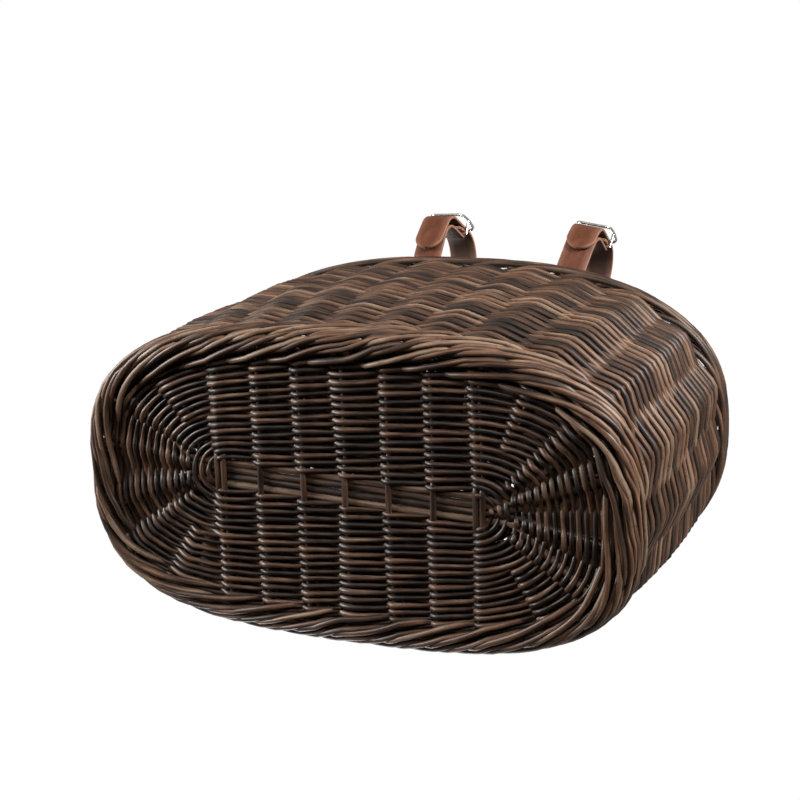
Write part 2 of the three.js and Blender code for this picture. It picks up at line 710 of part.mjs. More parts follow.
function wireBar(along, height) {
  const bar = new THREE.CylinderGeometry(WIRE_RADIUS, WIRE_RADIUS, 2 * armOuter, 8);
  bar.rotateX(Math.PI / 2);
  bar.translate(along, height, 0);
  return toSolid(bar);
}

function sideArm(side) {
  const rise = BUCKLE_ARCH;
  const archRadius = (BUCKLE_HALF ** 2 + rise ** 2) / (2 * rise);
  const archCentre = new THREE.Vector2(0, outerBarHeight + rise - archRadius);
  const reach = Math.asin(BUCKLE_HALF / archRadius);
  const from = Math.PI / 2 - reach;
  const to = Math.PI / 2 + reach;
  const tab = Math.asin(WIRE_RADIUS / archRadius);
  const over = arcPoints(archCentre, archRadius + WIRE_RADIUS, from, to, 8);
  const farUnder = arcPoints(archCentre, archRadius - WIRE_RADIUS, to, Math.PI / 2 + tab, 3);
  const nearUnder = arcPoints(archCentre, archRadius - WIRE_RADIUS, Math.PI / 2 - tab, from, 3);
  const foot = [
    new THREE.Vector2(-WIRE_RADIUS, middleBarHeight - WIRE_RADIUS),
    new THREE.Vector2(WIRE_RADIUS, middleBarHeight - WIRE_RADIUS),
  ];
  const arm = new THREE.ExtrudeGeometry(new THREE.Shape([...over, ...farUnder, ...foot, ...nearUnder]), {
    depth: 2 * WIRE_RADIUS,
    bevelEnabled: false,
  });
  arm.translate(0, 0, side > 0 ? armInner : -armOuter);
  return toSolid(arm);
}

function buckleFrame() {
  const bars = [-BUCKLE_HALF, BUCKLE_HALF].map((along) => wireBar(along, outerBarHeight));
  let solid = wireBar(0, middleBarHeight).add(bars[0]).add(bars[1]);
  solid = solid.add(sideArm(1)).add(sideArm(-1));
  const geometry = fromSolid(solid);
  geometry.translate(0, -middleBarHeight, 0);
  return geometry;
}

// Tongue: a ring on the middle bar and a pin that lies over the far outer bar.
function buckleTongue() {
  const inner = WIRE_RADIUS + EYE_PLAY;
  const outer = inner + TONGUE_RING;
  const ringShape = roundSection(outer, 12);
  ringShape.holes.push(new THREE.Path(roundSection(inner, 12).getPoints()));
  const ring = new THREE.ExtrudeGeometry(ringShape, { depth: TONGUE_WIDTH, bevelEnabled: false });
  ring.translate(0, 0, -TONGUE_WIDTH / 2);
  const start = inner + EYE_PLAY;
  const stop = (BUCKLE_HALF + TONGUE_OVERHANG) / Math.cos(tongueAngle);
  const pin = new THREE.CylinderGeometry(TONGUE_RADIUS, TONGUE_RADIUS, stop - start, 8);
  pin.translate(0, (start + stop) / 2, 0);
  pin.rotateZ(Math.PI / 2 - tongueAngle);
  return fromSolid(toSolid(ring).add(toSolid(pin)));
}

STRAP_PLACES.forEach((station, k) => {
  const side = k ? 'right' : 'left';
  const middle = wallPoint(station, BORDER_MIDDLE, 0);
  const outwards = wallPoint(station, BORDER_MIDDLE, 1).sub(middle).normalize();
  const up = new THREE.Vector3(0, 0, 1);
  const across = outwards.clone().cross(up);
  const loop = new THREE.Group();
  loop.position.copy(middle);
  loop.setRotationFromMatrix(new THREE.Matrix4().makeBasis(outwards, up, across));
  basket.add(loop);
  addPiece(loop, `strap_${side}`, strap(TIP_LENGTHS[k]), leather);
  const bar = bucklePoint(0, middleBarHeight);
  const buckle = new THREE.Group();
  buckle.position.set(bar.x, bar.y, 0);
  buckle.rotation.z = buckleTurn - Math.PI / 2;
  loop.add(buckle);
  addPiece(buckle, `buckle_frame_${side}`, buckleFrame(), nickel);
  addPiece(buckle, `buckle_tongue_${side}`, buckleTongue(), nickel);
});

// The origin lies under the middle of the whole part, straps included.
const bounds = new THREE.Box3().setFromObject(basket, true);
basket.position.x = -(bounds.min.x + bounds.max.x) / 2;
basket.position.y = -(bounds.min.y + bounds.max.y) / 2;

export default basket;
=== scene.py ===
# Oval wicker bicycle basket with two leather handlebar straps.
# Lengths are in millimetres until a mesh is made, which is in metres.
import math

import bpy
import numpy as np
from mathutils import Matrix, Vector


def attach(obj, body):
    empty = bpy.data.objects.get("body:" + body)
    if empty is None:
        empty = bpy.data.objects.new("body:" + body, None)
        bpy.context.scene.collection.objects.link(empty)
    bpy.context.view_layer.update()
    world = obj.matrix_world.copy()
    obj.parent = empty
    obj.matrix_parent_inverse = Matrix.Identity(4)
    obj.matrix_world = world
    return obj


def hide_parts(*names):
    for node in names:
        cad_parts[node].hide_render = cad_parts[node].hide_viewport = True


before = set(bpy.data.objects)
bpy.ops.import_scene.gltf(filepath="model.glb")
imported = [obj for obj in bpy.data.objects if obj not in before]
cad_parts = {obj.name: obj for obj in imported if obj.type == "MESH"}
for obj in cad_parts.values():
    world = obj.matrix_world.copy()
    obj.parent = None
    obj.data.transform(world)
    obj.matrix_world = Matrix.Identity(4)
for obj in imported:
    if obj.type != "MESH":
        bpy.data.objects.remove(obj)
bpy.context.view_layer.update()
dice = np.random.default_rng(41)

# Basket outline, as in the part.
BASE_LENGTH, BASE_WIDTH, BASE_SQUARENESS = 354.0, 190.0, 3.0
RIM_LENGTH, RIM_WIDTH, RIM_SQUARENESS = 358.0, 210.0, 2.55
BELLY, HEIGHT = 6.0, 224.0  # how far the wall bows out half way up, and how high it is
STAKE_RADIUS, WALL_HALF = 2.2, 6.1  # the wall's half is from the stakes' line to its face
SIDE_STAKES, END_STAKES, STAKES = 7, 6, 26
BASE_STAKE_PITCH, RIM_STAKE_PITCH = 28.0, 34.0  # along the long sides
FOOT_LEAD, RIM_LEAD = 4.65, 13.0  # the stakes lean on round the oval
SHIFT = np.array([0.003, -11.601, 0.0])  # from the basket's middle to the part's

# Levels up the wall.
BASE_LEVEL = 9.0
BORDER_STEP = 5.2
BORDER_TOP = HEIGHT - STAKE_RADIUS
BORDER_MIDDLE = BORDER_TOP - BORDER_STEP
WALE_TOP, WALE_HEIGHT = 204.8, 14.0
WEAVE_BOTTOM, WEAVE_TOP = 20.4, 190.4
COURSES, STRAND_PASSES, STRAND_START, STRAND_HEIGHT = 8, 130, 16, 4.4

# Base.
STICK_WIDTH, LONG_STICKS, LONG_STICK_PITCH = 3.5, 4, 4.5
BASE_ROWS, BUNDLED_ROWS, CORNER_ROWS = 16, 3, 7
FAN_START = 104.5
SLATH_EDGE, SLATH_END = 10.2, 92.0  # where the weave starts, beside and past the long sticks
SLATH_TURN = 0.045  # the long sticks lie slightly askew
WEAVE_EDGE = 9.2  # from the stakes' line in to the outermost row
STICK_END, TURN_RADIUS = 12.0, 8.0

# Straps and buckles.
STRAP_WIDTH, STRAP_THICKNESS = 20.0, 2.0
STRAP_PLACES = {"left": 2.55, "right": 5.5}
BORDER_ROOM, BEND_ROOM, BUCKLE_RUN = 7.8, 12.5, 34.0
LOWER_BEND = np.array([9.5, 15.0])
BUCKLE_ANGLE, TIP_ANGLE = math.radians(30), math.radians(-15)
TIP_LENGTHS = {"left": 24.0, "right": 14.0}
WIRE_RADIUS, BUCKLE_HALF, BUCKLE_ARCH = 1.0, 13.0, 2.4
EYE_RADIUS, TONGUE_RADIUS, BAR_PLAY = 2.3, 0.9, 0.8
SIDE_PLAY, LAYER_GAP, SLOT_PLAY = 0.8, 0.4, 0.7
FOLD_TAIL, HOLE_RADIUS = 8.0, 1.6
HOLE_ANGLES = math.radians(14), math.radians(117)
TIP_SINK = 3.6  # the tip leans in towards the leather under it
NEAR_RISE = 1.3  # the buckle's bar over the lower bend stands prouder than the other


def signed_power(value, power):
    return np.sign(value) * np.abs(value) ** power


def oval_at(z):
    """Half length, half width and exponent of the stakes' line at a height."""
    t = np.asarray(z, float) / HEIGHT
    bow = BELLY * 4 * t * (1 - t) - WALL_HALF
    a = (BASE_LENGTH + (RIM_LENGTH - BASE_LENGTH) * t) / 2 + bow
    b = (BASE_WIDTH + (RIM_WIDTH - BASE_WIDTH) * t) / 2 + bow
    return a, b, BASE_SQUARENESS + (RIM_SQUARENESS - BASE_SQUARENESS) * t


def oval_point(oval, angle):
    a, b, n = oval
    return a * signed_power(np.cos(angle), 2 / n), b * signed_power(np.sin(angle), 2 / n)


def stake_angles(oval, pitch, lead):
    """Angles of the stakes on one oval, spaced by length along the sides and round the ends."""
    turn = np.linspace(0, 2 * math.pi, 1441)
    x, y = oval_point(oval, turn)
    length = np.concatenate([[0], np.cumsum(np.hypot(np.diff(x), np.diff(y)))])
    total = length[-1]
    side_span = (SIDE_STAKES - 1) * pitch
    end_gap = (total / 2 - side_span) / (END_STAKES + 1)
    places = []
    for half in range(2):
        start = total / 4 + half * total / 2 - side_span / 2 - lead
        places += [start + k * pitch for k in range(SIDE_STAKES)]
        places += [start + side_span + k * end_gap for k in range(1, END_STAKES + 1)]
    places = np.array(places)
    turns = np.floor(places / total)
    return np.interp(places - turns * total, length, turn) + 2 * math.pi * turns


def wrapped(angles):
    """The same stakes counted on for several turns, so that a rod can go round and round."""
    return np.concatenate([angles + 2 * math.pi * turn for turn in range(-2, 4)])


STATIONS = np.arange(-2 * STAKES, 4 * STAKES)
base_angles = wrapped(stake_angles(oval_at(0), BASE_STAKE_PITCH, FOOT_LEAD))
rim_angles = wrapped(stake_angles(oval_at(HEIGHT), RIM_STAKE_PITCH, RIM_LEAD))


def station_angle(station, rise):
    """Angle round the oval at a stake or between two, a share of the way up the wall."""
    low = np.interp(station, STATIONS, base_angles)
    high = np.interp(station, STATIONS, rim_angles)
    return low + (high - low) * rise


def beside_oval(oval, angle, outwards):
    """Points of an oval, moved square to it in plan."""
    a, b, n = oval
    x, y = oval_point(oval, angle)
    nx = signed_power(x / a, n - 1) / a
    ny = signed_power(y / b, n - 1) / b
    size = np.hypot(nx, ny)
    return x + nx / size * outwards, y + ny / size * outwards


def wall_point(station, z, outwards):
    """Points on the stake line, moved square to the wall in plan."""
    values = [np.asarray(value, float) for value in (station, z, outwards)]
    station, z, outwards = np.broadcast_arrays(*values)
    angle = station_angle(station, np.clip(z / HEIGHT, 0, 1))
    return np.stack([*beside_oval(oval_at(z), angle, outwards), z], -1) + SHIFT


def spline(points, per_span, closed=False):
    """Smooth curve through the points."""
    points = np.asarray(points, float)
    count = len(points)
    spans = count if closed else count - 1
    at = np.arange(spans * per_span + (0 if closed else 1)) / per_span
    k = np.minimum(at.astype(int), spans - 1)
    t = (at - k)[:, None]
    pick = (lambda i: points[i % count]) if closed else (lambda i: points[np.clip(i, 0, count - 1)])
    p0, p1, p2, p3 = pick(k - 1), pick(k), pick(k + 1), pick(k + 2)
    if not closed:
        p0 = np.where((k == 0)[:, None], 2 * p1 - p2, p0)
        p3 = np.where((k == spans - 1)[:, None], 2 * p2 - p1, p3)
    return 0.5 * (2 * p1 + (p2 - p0) * t + (2 * p0 - 5 * p1 + 4 * p2 - p3) * t ** 2
                  + (3 * p1 - p0 - 3 * p2 + p3) * t ** 3)


def headings(path, closed=False):
    """Direction of a path at each of its points."""
    along = np.roll(path, -1, 0) - np.roll(path, 1, 0) if closed else np.gradient(path, axis=0)
    return along / np.linalg.norm(along, axis=1)[:, None]


def lengths(path):
    """Length along a path up to each of its points."""
    return np.concatenate([[0], np.cumsum(np.linalg.norm(np.diff(path, axis=0), axis=1))])


def mesh_piece(name, points, faces, material, layers):
    """Object from points in millimetres. A layer holds a value or a vector for each point."""
    mesh = bpy.data.meshes.new(name)
    mesh.from_pydata((np.asarray(points) / 1000).tolist(), [], faces)
    for label, values in layers.items():
        values = np.asarray(values, np.float32)
        vector = values.ndim == 2
        layer = mesh.attributes.new(label, "FLOAT_VECTOR" if vector else "FLOAT", "POINT")
        layer.data.foreach_set("vector" if vector else "value", values.ravel())
    mesh.materials.append(material)
    mesh.update()
    piece = bpy.data.objects.new(name, mesh)
    bpy.context.scene.collection.objects.link(piece)
    return piece


CREASE_SHADE_POWER = 3  # how closely the painted shade keeps to where two rods press together
STEEP = 0.8  # a rod that starts steeper than this takes its first side from another axis
GRAIN_SPREAD = 5000  # each rod's grain starts somewhere else


class Rods:
    """Collects round rods for one mesh, with a tone for each rod and grain along it."""

    def __init__(self):
        self.points, self.faces, self.layers = [], [], []
        self.count = 0

    def add(self, path, radius, tone, sides=8, closed=False, flat=1.0, pressed=None):
        """One rod. Its radius may change along the path. Flat below 1 squeezes its section and
        above 1 draws it out, upwards on a level rod. Pressed gives the direction in which its
        neighbours lie: painted shade darkens the rod there."""
        path = np.asarray(path, float)
        count = len(path)
        radius = np.broadcast_to(np.asarray(radius, float), (count,))
        along = headings(path, closed)
        side = np.zeros_like(path)
        level = abs(along[0][2]) < STEEP
        last = np.array([0.0, 0.0, 1.0]) if level else np.array([1.0, 0.0, 0.0])
        for k in range(count):
            last = last - along[k] * last.dot(along[k])
            last = last / np.linalg.norm(last)
            side[k] = last
        other = np.cross(along, side)
        if closed:
            end = side[-1] - along[0] * side[-1].dot(along[0])
            twist = math.atan2(end.dot(other[0]), end.dot(side[0]))
            turn = -twist * np.arange(count) / count
            side, other = (side * np.cos(turn)[:, None] + other * np.sin(turn)[:, None],
                           other * np.cos(turn)[:, None] - side * np.sin(turn)[:, None])
        angle = 2 * math.pi * np.arange(sides) / sides
        by_side = side[:, None, :] * np.cos(angle)[None, :, None]
        by_other = other[:, None, :] * np.sin(angle)[None, :, None]
        points = path[:, None, :] + (by_side * flat + by_other) * radius[:, None, None]
        seed = dice.uniform(0, GRAIN_SPREAD)
        grain = np.stack(np.broadcast_arrays(
            (lengths(path) + seed)[:, None],
            radius[:, None] * np.cos(angle)[None, :],
            radius[:, None] * np.sin(angle)[None, :]), -1)
        faces = []
        for k in range(count if closed else count - 1):
            here, there = k * sides, ((k + 1) % count) * sides
            for j in range(sides):
                nxt = (j + 1) % sides
                faces.append((here + j, here + nxt, there + nxt, there + j))
        points = points.reshape(-1, 3)
        grain = grain.reshape(-1, 3)
        cut = np.zeros(len(points))
        crease_shade = np.zeros(len(points))
        # Painted shade: the sides that face the neighbouring rods are marked to be darkened.
        if pressed is not None:
            pressed = np.broadcast_to(np.asarray(pressed, float), (count, 3))
            facing = np.einsum("ijk,ik->ij", by_side + by_other, pressed).ravel()
            crease_shade = np.abs(facing) ** CREASE_SHADE_POWER
        if not closed:
            for first, order in ((0, -1), ((count - 1) * sides, 1)):
                rim = len(points)
                points = np.concatenate([points, points[first:first + sides]])
                grain = np.concatenate([grain, grain[first:first + sides]])
                cut = np.concatenate([cut, np.ones(sides)])
                crease_shade = np.concatenate([crease_shade, np.zeros(sides)])
                faces.append(tuple(range(rim, rim + sides))[::order])
        tones = np.full(len(points), tone)
        self.layers.append({"tone": tones, "cut": cut, "crease_shade": crease_shade, "grain": grain / 1000})
        self.faces += [tuple(i + self.count for i in face) for face in faces]
        self.points.append(points)
        self.count += len(points)

    def build(self, name, material):
        """One object of all the rods, smooth along their sides and flat at their cut ends."""
        layers = {}
        for label in self.layers[0]:
            layers[label] = np.concatenate([rod[label] for rod in self.layers])
        piece = mesh_piece(name, np.concatenate(self.points), self.faces, material, layers)
        piece.data.polygons.foreach_set("use_smooth", [len(face) == 4 for face in self.faces])
        piece.data.update()
        return piece


def dress(piece, body, slot, *replaced):
    """Ties a piece to the body it moves with and hides the nodes that it stands for. Slot, its
    finish, is not used.
    """
    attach(piece, body)
    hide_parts(*replaced)


# Materials.
class Shading:
    """Places and joins the nodes of one tree."""

    def __init__(self, tree):
        self.tree = tree

    def feed(self, made, inputs):
        """Joins each input of a node to an output, or sets its value."""
        for key, value in inputs.items():
            if isinstance(value, bpy.types.NodeSocket):
                self.tree.links.new(value, made.inputs[key])
            else:
                made.inputs[key].default_value = value

    def node(self, kind, inputs=None, **settings):
        made = self.tree.nodes.new(kind)
        for key, value in settings.items():
            setattr(made, key, value)
        self.feed(made, inputs or {})
        return made

    def layer(self, label):
        """Value or vector that the meshes hold for each point."""
        made = self.node("ShaderNodeAttribute", attribute_name=label)
        return made.outputs["Vector" if label == "grain" else "Fac"]

    def math(self, operation, a, b, clamp=False):
        made = self.node("ShaderNodeMath", {0: a, 1: b}, operation=operation, use_clamp=clamp)
        return made.outputs[0]

    def ramp(self, value, stops):
        made = self.node("ShaderNodeValToRGB", {"Fac": value})
        elements = made.color_ramp.elements
        while len(elements) < len(stops):
            elements.new(0.5)
        for element, (at, color) in zip(elements, stops):
            element.position = at
            element.color = (*color, 1)
        return made.outputs["Color"]

    def noise(self, vector, scale, detail=3.0, roughness=0.5):
        settings = {"Vector": vector, "Scale": scale, "Detail": detail, "Roughness": roughness}
        return self.node("ShaderNodeTexNoise", settings).outputs["Fac"]

    def stretch(self, vector, by):
        made = self.node("ShaderNodeVectorMath", {0: vector, 1: by}, operation="MULTIPLY")
        return made.outputs["Vector"]

    def bump(self, height, strength):
        inputs = {"Strength": strength, "Distance": 0.0004, "Height": height}
        return self.node("ShaderNodeBump", inputs).outputs["Normal"]

    def mix(self, factor, a, b, blend="MIX"):
        made = self.node("ShaderNodeMix", data_type="RGBA", blend_type=blend)
        self.feed(made, {0: factor, 6: a, 7: b})
        return made.outputs[2]


def group_tree(name, inputs, outputs):
    tree = bpy.data.node_groups.new(name, "ShaderNodeTree")
    for label, kind in inputs:
        tree.interface.new_socket(name=label, in_out="INPUT", socket_type=kind)
    for label, kind in outputs:
        tree.interface.new_socket(name=label, in_out="OUTPUT", socket_type=kind)
    shading = Shading(tree)
    return shading, shading.node("NodeGroupInput"), shading.node("NodeGroupOutput")


def willow_group():
    """Bark of stained willow: streaks along the rod, patches, specks, painted shade in creases, cut
    ends.
    """
    s, given, result = group_tree(
        "willow_bark",
        [("Grain", "NodeSocketVector"), ("Tone", "NodeSocketFloat"), ("Cut", "NodeSocketFloat"),
         ("Crease_shade", "NodeSocketFloat"), ("Depth", "NodeSocketFloat")],
        [("Color", "NodeSocketColor"), ("Roughness", "NodeSocketFloat"),
         ("Height", "NodeSocketFloat")])
    grain = given.outputs["Grain"]
    streak = s.noise(s.stretch(grain, (30, 700, 700)), 1.0, 4.0, 0.6)
    blotch = s.noise(s.stretch(grain, (45, 120, 120)), 1.0, 2.0)
    speck = s.noise(s.stretch(grain, (420, 800, 800)), 1.0, 2.0)
    drift = s.math("MULTIPLY", s.math("SUBTRACT", streak, 0.5), 1.7)
    patch = s.math("MULTIPLY", s.math("SUBTRACT", blotch, 0.5), 1.2)
    tone = s.math("ADD", s.math("ADD", given.outputs["Tone"], drift), patch)
    bark = s.ramp(tone, [
        (0.0, (0.010, 0.0056, 0.0033)),
        (0.25, (0.031, 0.0152, 0.0084)),
        (0.48, (0.070, 0.0338, 0.0180)),
        (0.68, (0.123, 0.0595, 0.0325)),
        (0.85, (0.174, 0.096, 0.057)),
        (1.0, (0.235, 0.155, 0.100)),
    ])
    dark = s.math("MULTIPLY", s.math("GREATER_THAN", speck, 0.66), 0.55)
    bark = s.mix(dark, bark, (0.014, 0.009, 0.007, 1))
    # Painted shade: the colour goes nearly black on the sides where neighbouring rods lie.
    painted_crease_shade = s.math("MULTIPLY", given.outputs["Crease_shade"], 0.85)
    bark = s.mix(painted_crease_shade, bark, (0.010, 0.0065, 0.005, 1))
    bark = s.mix(given.outputs["Cut"], bark, (0.21, 0.135, 0.085, 1))
    shade = s.math("SUBTRACT", 1.0, given.outputs["Depth"])
    bark = s.mix(1.0, bark, shade, "MULTIPLY")
    rough = s.math("ADD", s.math("MULTIPLY", streak, 0.3), 0.31)
    height = s.math("ADD", s.math("MULTIPLY", streak, 0.6), s.math("MULTIPLY", speck, 0.4))
    s.feed(result, {"Color": bark, "Roughness": rough, "Height": height})
    return s.tree


def new_material(name):
    material = bpy.data.materials.new(name)
    material.use_nodes = True
    material.node_tree.nodes.clear()
    shading = Shading(material.node_tree)
    surface = shading.node("ShaderNodeBsdfPrincipled")
    out = shading.node("ShaderNodeOutputMaterial", {"Surface": surface.outputs[0]})
    return material, shading, surface, out


willow_bark = willow_group()


def willow(name, darkening, specular):
    """Stained willow. Its second argument darkens the whole finish: on the base this is painted
    shade.
    """
    material, s, surface, _ = new_material(name)
    bark = s.node("ShaderNodeGroup", node_tree=willow_bark)
    for label in ("grain", "tone", "cut", "crease_shade"):
        s.feed(bark, {label.capitalize(): s.layer(label)})
    s.feed(bark, {"Depth": darkening})
    s.feed(surface, {
        "Base Color": bark.outputs["Color"],
        "Roughness": bark.outputs["Roughness"],
        "Normal": s.bump(bark.outputs["Height"], 0.35),
        "Specular IOR Level": specular,
    })
    return material


stake_willow = willow("stake_willow", 0.1, 0.4)
strand_willow = willow("strand_willow", 0.0, 0.33)
wale_willow = willow("wale_willow", 0.0, 0.38)
# Painted shade: the base's whole finish is darkened by 0.28.
base_willow = willow("base_willow", 0.28, 0.45)


# Wall: strands wound up the stakes as in the part, in front of one stake and behind the next.
STRAND_REACH = 3.6  # from the stakes' line to a strand that passes a stake
STRAND_TALL = 1.16  # a strand's height for its thickness
STRAND_RADII, STRAND_TONES = (2.0, 2.2), (0.15, 0.8)
STRAND_TAPER = (1.1, 0.88)
LEVEL_SLACK, REACH_SLACK = 0.3, 0.2  # how unevenly the strands lie
TUCK_STEP, TUCK_BAY, TUCK_SLOPE, TUCK_IN = 0.8, 0.3, 0.6, 1.6  # a rod's ends, inside the wall
CORNER = 0.13  # share of a stroke over which it turns
PASSES = COURSES * STRAND_PASSES
LOWEST_STRAND = WEAVE_BOTTOM + STRAND_HEIGHT / 2
STRAND_CLIMB = (WEAVE_TOP - WEAVE_BOTTOM - STRAND_HEIGHT) / PASSES
RODS_PER_COURSE = 9


def corner_path(corners):
    """Straight strokes between the corners, each corner rounded over a short stretch."""
    before, after = corners[:-1], corners[1:]
    leave = before + (after - before) * CORNER
    arrive = after - (after - before) * CORNER
    path = [corners[0]]
    for k in range(len(before)):
        path.append(leave[k])
        path.append((leave[k] + arrive[k]) / 2)
        path.append(arrive[k])
        if k + 1 < len(before):
            path.append(0.25 * arrive[k] + 0.5 * after[k] + 0.25 * leave[k + 1])
    path.append(corners[-1])
    return np.array(path)


def in_front(number):
    """Whether a pass lies outside its stake. The sides change with each round of the wall."""
    return (number + number // STAKES) % 2 == 0


def pass_behind(number):
    """The first pass from a number on that lies inside the wall, where rods begin and end."""
    while in_front(number):
        number += 1
    return number


def wall_rod(rods, first, last, thick, tone):
    """One rod of the wall, with its ends tucked away inside."""
    passes = np.arange(first, last + 1)
    slack = dice.uniform(-LEVEL_SLACK, LEVEL_SLACK, len(passes))
    level = LOWEST_STRAND + STRAND_CLIMB * passes + slack
    slack = dice.uniform(-REACH_SLACK, REACH_SLACK, len(passes))
    reach = np.where(in_front(passes), 1, -1) * (STRAND_REACH + slack)
    level[0] -= TUCK_STEP
    level[-1] += TUCK_STEP
    station = np.concatenate([[first - TUCK_BAY], passes, [last + TUCK_BAY]])
    level = np.concatenate([level[:1] - TUCK_SLOPE, level, level[-1:] + TUCK_SLOPE])
    reach = np.concatenate([reach[:1] - TUCK_IN, reach, reach[-1:] - TUCK_IN])
    path = corner_path(wall_point((station + STRAND_START) % STAKES, level, reach))
    taper = np.linspace(*STRAND_TAPER, len(path))
    # Painted shade darkens the strand's top and bottom, towards the strands above and below.
    rods.add(path, thick * taper, tone, flat=STRAND_TALL, pressed=(0, 0, 1))


for course in range(COURSES):
    rods = Rods()
    marks = STRAND_PASSES * (course + np.arange(RODS_PER_COURSE + 1) / RODS_PER_COURSE)
    ends = [pass_behind(int(mark)) for mark in marks]
    for first, last in zip(ends[:-1], ends[1:]):
        thick = dice.uniform(*STRAND_RADII)
        wall_rod(rods, first, last, thick, dice.uniform(*STRAND_TONES))
    piece = rods.build(f"wall_weave_{course + 1}", strand_willow)
    dress(piece, "basket", "strand_willow", f"wall_course_{course + 1}")


# Wales: strands that go in front of two stakes and behind the third, laid like a rope.
WALE_BAYS = 3  # stakes that one stroke passes
WALE_STEPS = 6  # points in a bay
WALE_ENDS = (2, 11, 20, 32, 41, 50, 59, 71, 80)  # stakes at which rods follow one another
WHOLE_ROW = tuple(zip(WALE_ENDS[:-1], WALE_ENDS[1:]))
CLEAR_OF_STRAPS = ((8, 17), (17, 26), (35, 44), (44, 53), (59, 68), (68, 77))
DIVE_WIDTH, RISE_WIDTH = 0.38, 0.6  # bays over which a rod goes behind and comes out again
WALE_SWEEP = [0, 1.6, 1.8, 2.3, 2.6, 3.0], [0.16, 1, 1, 0, 0.02, 0.16]  # climb over a stroke
WALE_SPREAD, WALE_TAPER = (0.93, 1.07), (1.06, 0.94)
RIM_REACH = 4.1


def wale_rod(surface, first, last, climb):
    """Path of one rod of a wale, from behind one stake to behind another, and the way to the
    rods beside it."""
    station = np.arange((last - first) * WALE_STEPS + 3) / WALE_STEPS + first - 1 / WALE_STEPS
    phase = station % WALE_BAYS
    away = (phase - 0.5) % WALE_BAYS - WALE_BAYS / 2
    behind = np.exp(-(away / np.where(away < 0, DIVE_WIDTH, RISE_WIDTH)) ** 2)
    sweep = np.interp(phase, *WALE_SWEEP)
    rise = climb * (2 * sweep - 1)
    across = surface(station, rise + 0.5, 0 * behind) - surface(station, rise - 0.5, 0 * behind)
    across /= np.linalg.norm(across, axis=1)[:, None]
    return surface(station, rise, behind), across


def rim_surface(level):
    """Surface of the wall round one row of the rim's wale."""
    def at(station, rise, behind):
        return wall_point(station, level + rise, RIM_REACH - 2 * RIM_REACH * behind)
    return at


# Section of the foot, outwards and up, and from each of its corners the way in past the stakes.
FOOT_LINE = np.array([
    [-17.0, 2.7], [-11.0, 2.5], [-4.0, 2.5], [1.0, 3.1], [3.6, 5.6],
    [4.6, 9.5], [4.7, 14.0], [4.7, 19.0], [4.7, 25.0]])
FOOT_DEPTH = np.array([
    [0.0, 1.0], [0.0, 1.0], [-0.2, 0.98], [-0.5, 0.86], [-0.85, 0.5],
    [-1.0, 0.1], [-1.0, 0.0], [-1.0, 0.0], [-1.0, 0.0]])
BEHIND_IN, BEHIND_UP = 9.4, 9.8
foot_steps = lengths(FOOT_LINE)


def foot_surface(middle):
    """Surface of the foot: out from under the base, round the corner and up the wall."""
    def at(station, rise, behind):
        along = middle + rise
        out = np.interp(along, foot_steps, FOOT_LINE[:, 0])
        z = np.interp(along, foot_steps, FOOT_LINE[:, 1])
        inwards = np.interp(along, foot_steps, FOOT_DEPTH[:, 0])
        upwards = np.interp(along, foot_steps, FOOT_DEPTH[:, 1])
        z = z + upwards * BEHIND_UP * behind
        return wall_point(station, z, out + inwards * BEHIND_IN * behind)
    return at


def wale(rods, surface, climb, thick, tones, spans=WHOLE_ROW):
    """One row of rods, or part of a row."""
    for first, last in spans:
        path, across = wale_rod(surface, first, last, climb)
        width = thick * dice.uniform(*WALE_SPREAD) * np.linspace(*WALE_TAPER, len(path))
        # Painted shade darkens each rod where the rods beside it lie.
        rods.add(path, width, dice.uniform(*tones), sides=10, pressed=across)


RIM_TONES = (0.22, 0.72)
rods = Rods()
for level in (WALE_TOP - 0.13 * WALE_HEIGHT, WALE_TOP - 0.65 * WALE_HEIGHT):
    wale(rods, rim_surface(level), climb=2.2, thick=2.0, tones=RIM_TONES)
top_row = rim_surface(WALE_TOP + 3.4)
wale(rods, top_row, climb=1.6, thick=1.9, tones=RIM_TONES, spans=CLEAR_OF_STRAPS)
dress(rods.build("rim_weave", wale_willow), "basket", "wale_willow", "rim_wale")

FOOT_ROWS = (12.0, 18.5, 25.0, 31.0)  # along the foot's section
FOOT_INSIDE = ((13.4, 9.4), (15.8, 6.2), (19.6, 5.2))  # rods in its inner corner, up and in
rods = Rods()
for middle in FOOT_ROWS:
    wale(rods, foot_surface(middle), climb=8.5, thick=1.85, tones=(0.3, 0.95))
for z, inset in FOOT_INSIDE:
    station = np.arange(STAKES * WALE_STEPS) / WALE_STEPS
    wave = 0.5 * np.cos(math.pi * station)
    rods.add(wall_point(station, z + wave, -inset), 2.4, dice.uniform(0.25, 0.5), closed=True)
dress(rods.build("foot_weave", wale_willow), "basket", "wale_willow", "foot_wale")


# Stakes: from beside a base stick, round the corner, up the wall and over as the border.
BEND_STOPS = ((0.045, 4.2, 0), (0.13, 1.3, -0.5))  # bays on, down from the border's top and out
BORDER_STOPS = (0.28, 0.6, 1.0, 1.35, 1.7, 2.05)  # bays on from the stake
BORDER_LAG, BORDER_OUT = 0.12, 0.55
STAKE_FOOT, STRAIGHT_TOP = 34.0, BORDER_TOP - 9
TIP_RADIUS, TIP_GAIN = 1.5, 0.7
FOOT_POINTS, TIP_POINTS = 14, 10  # points over which a stake gains and loses its thickness
FOOT_SHARE, STAKE_TONES = 0.55, (0.28, 0.6)


def over_the_rim(k, along):
    """Point on a bent over stake, behind the next stake and in front of the one after it."""
    drop = BORDER_STEP * max(along - BORDER_LAG, along / 2)
    out = -along if along < 1 else 2 * along - 3
    return wall_point(k + along, BORDER_TOP - drop, BORDER_STEP * min(out, BORDER_OUT))


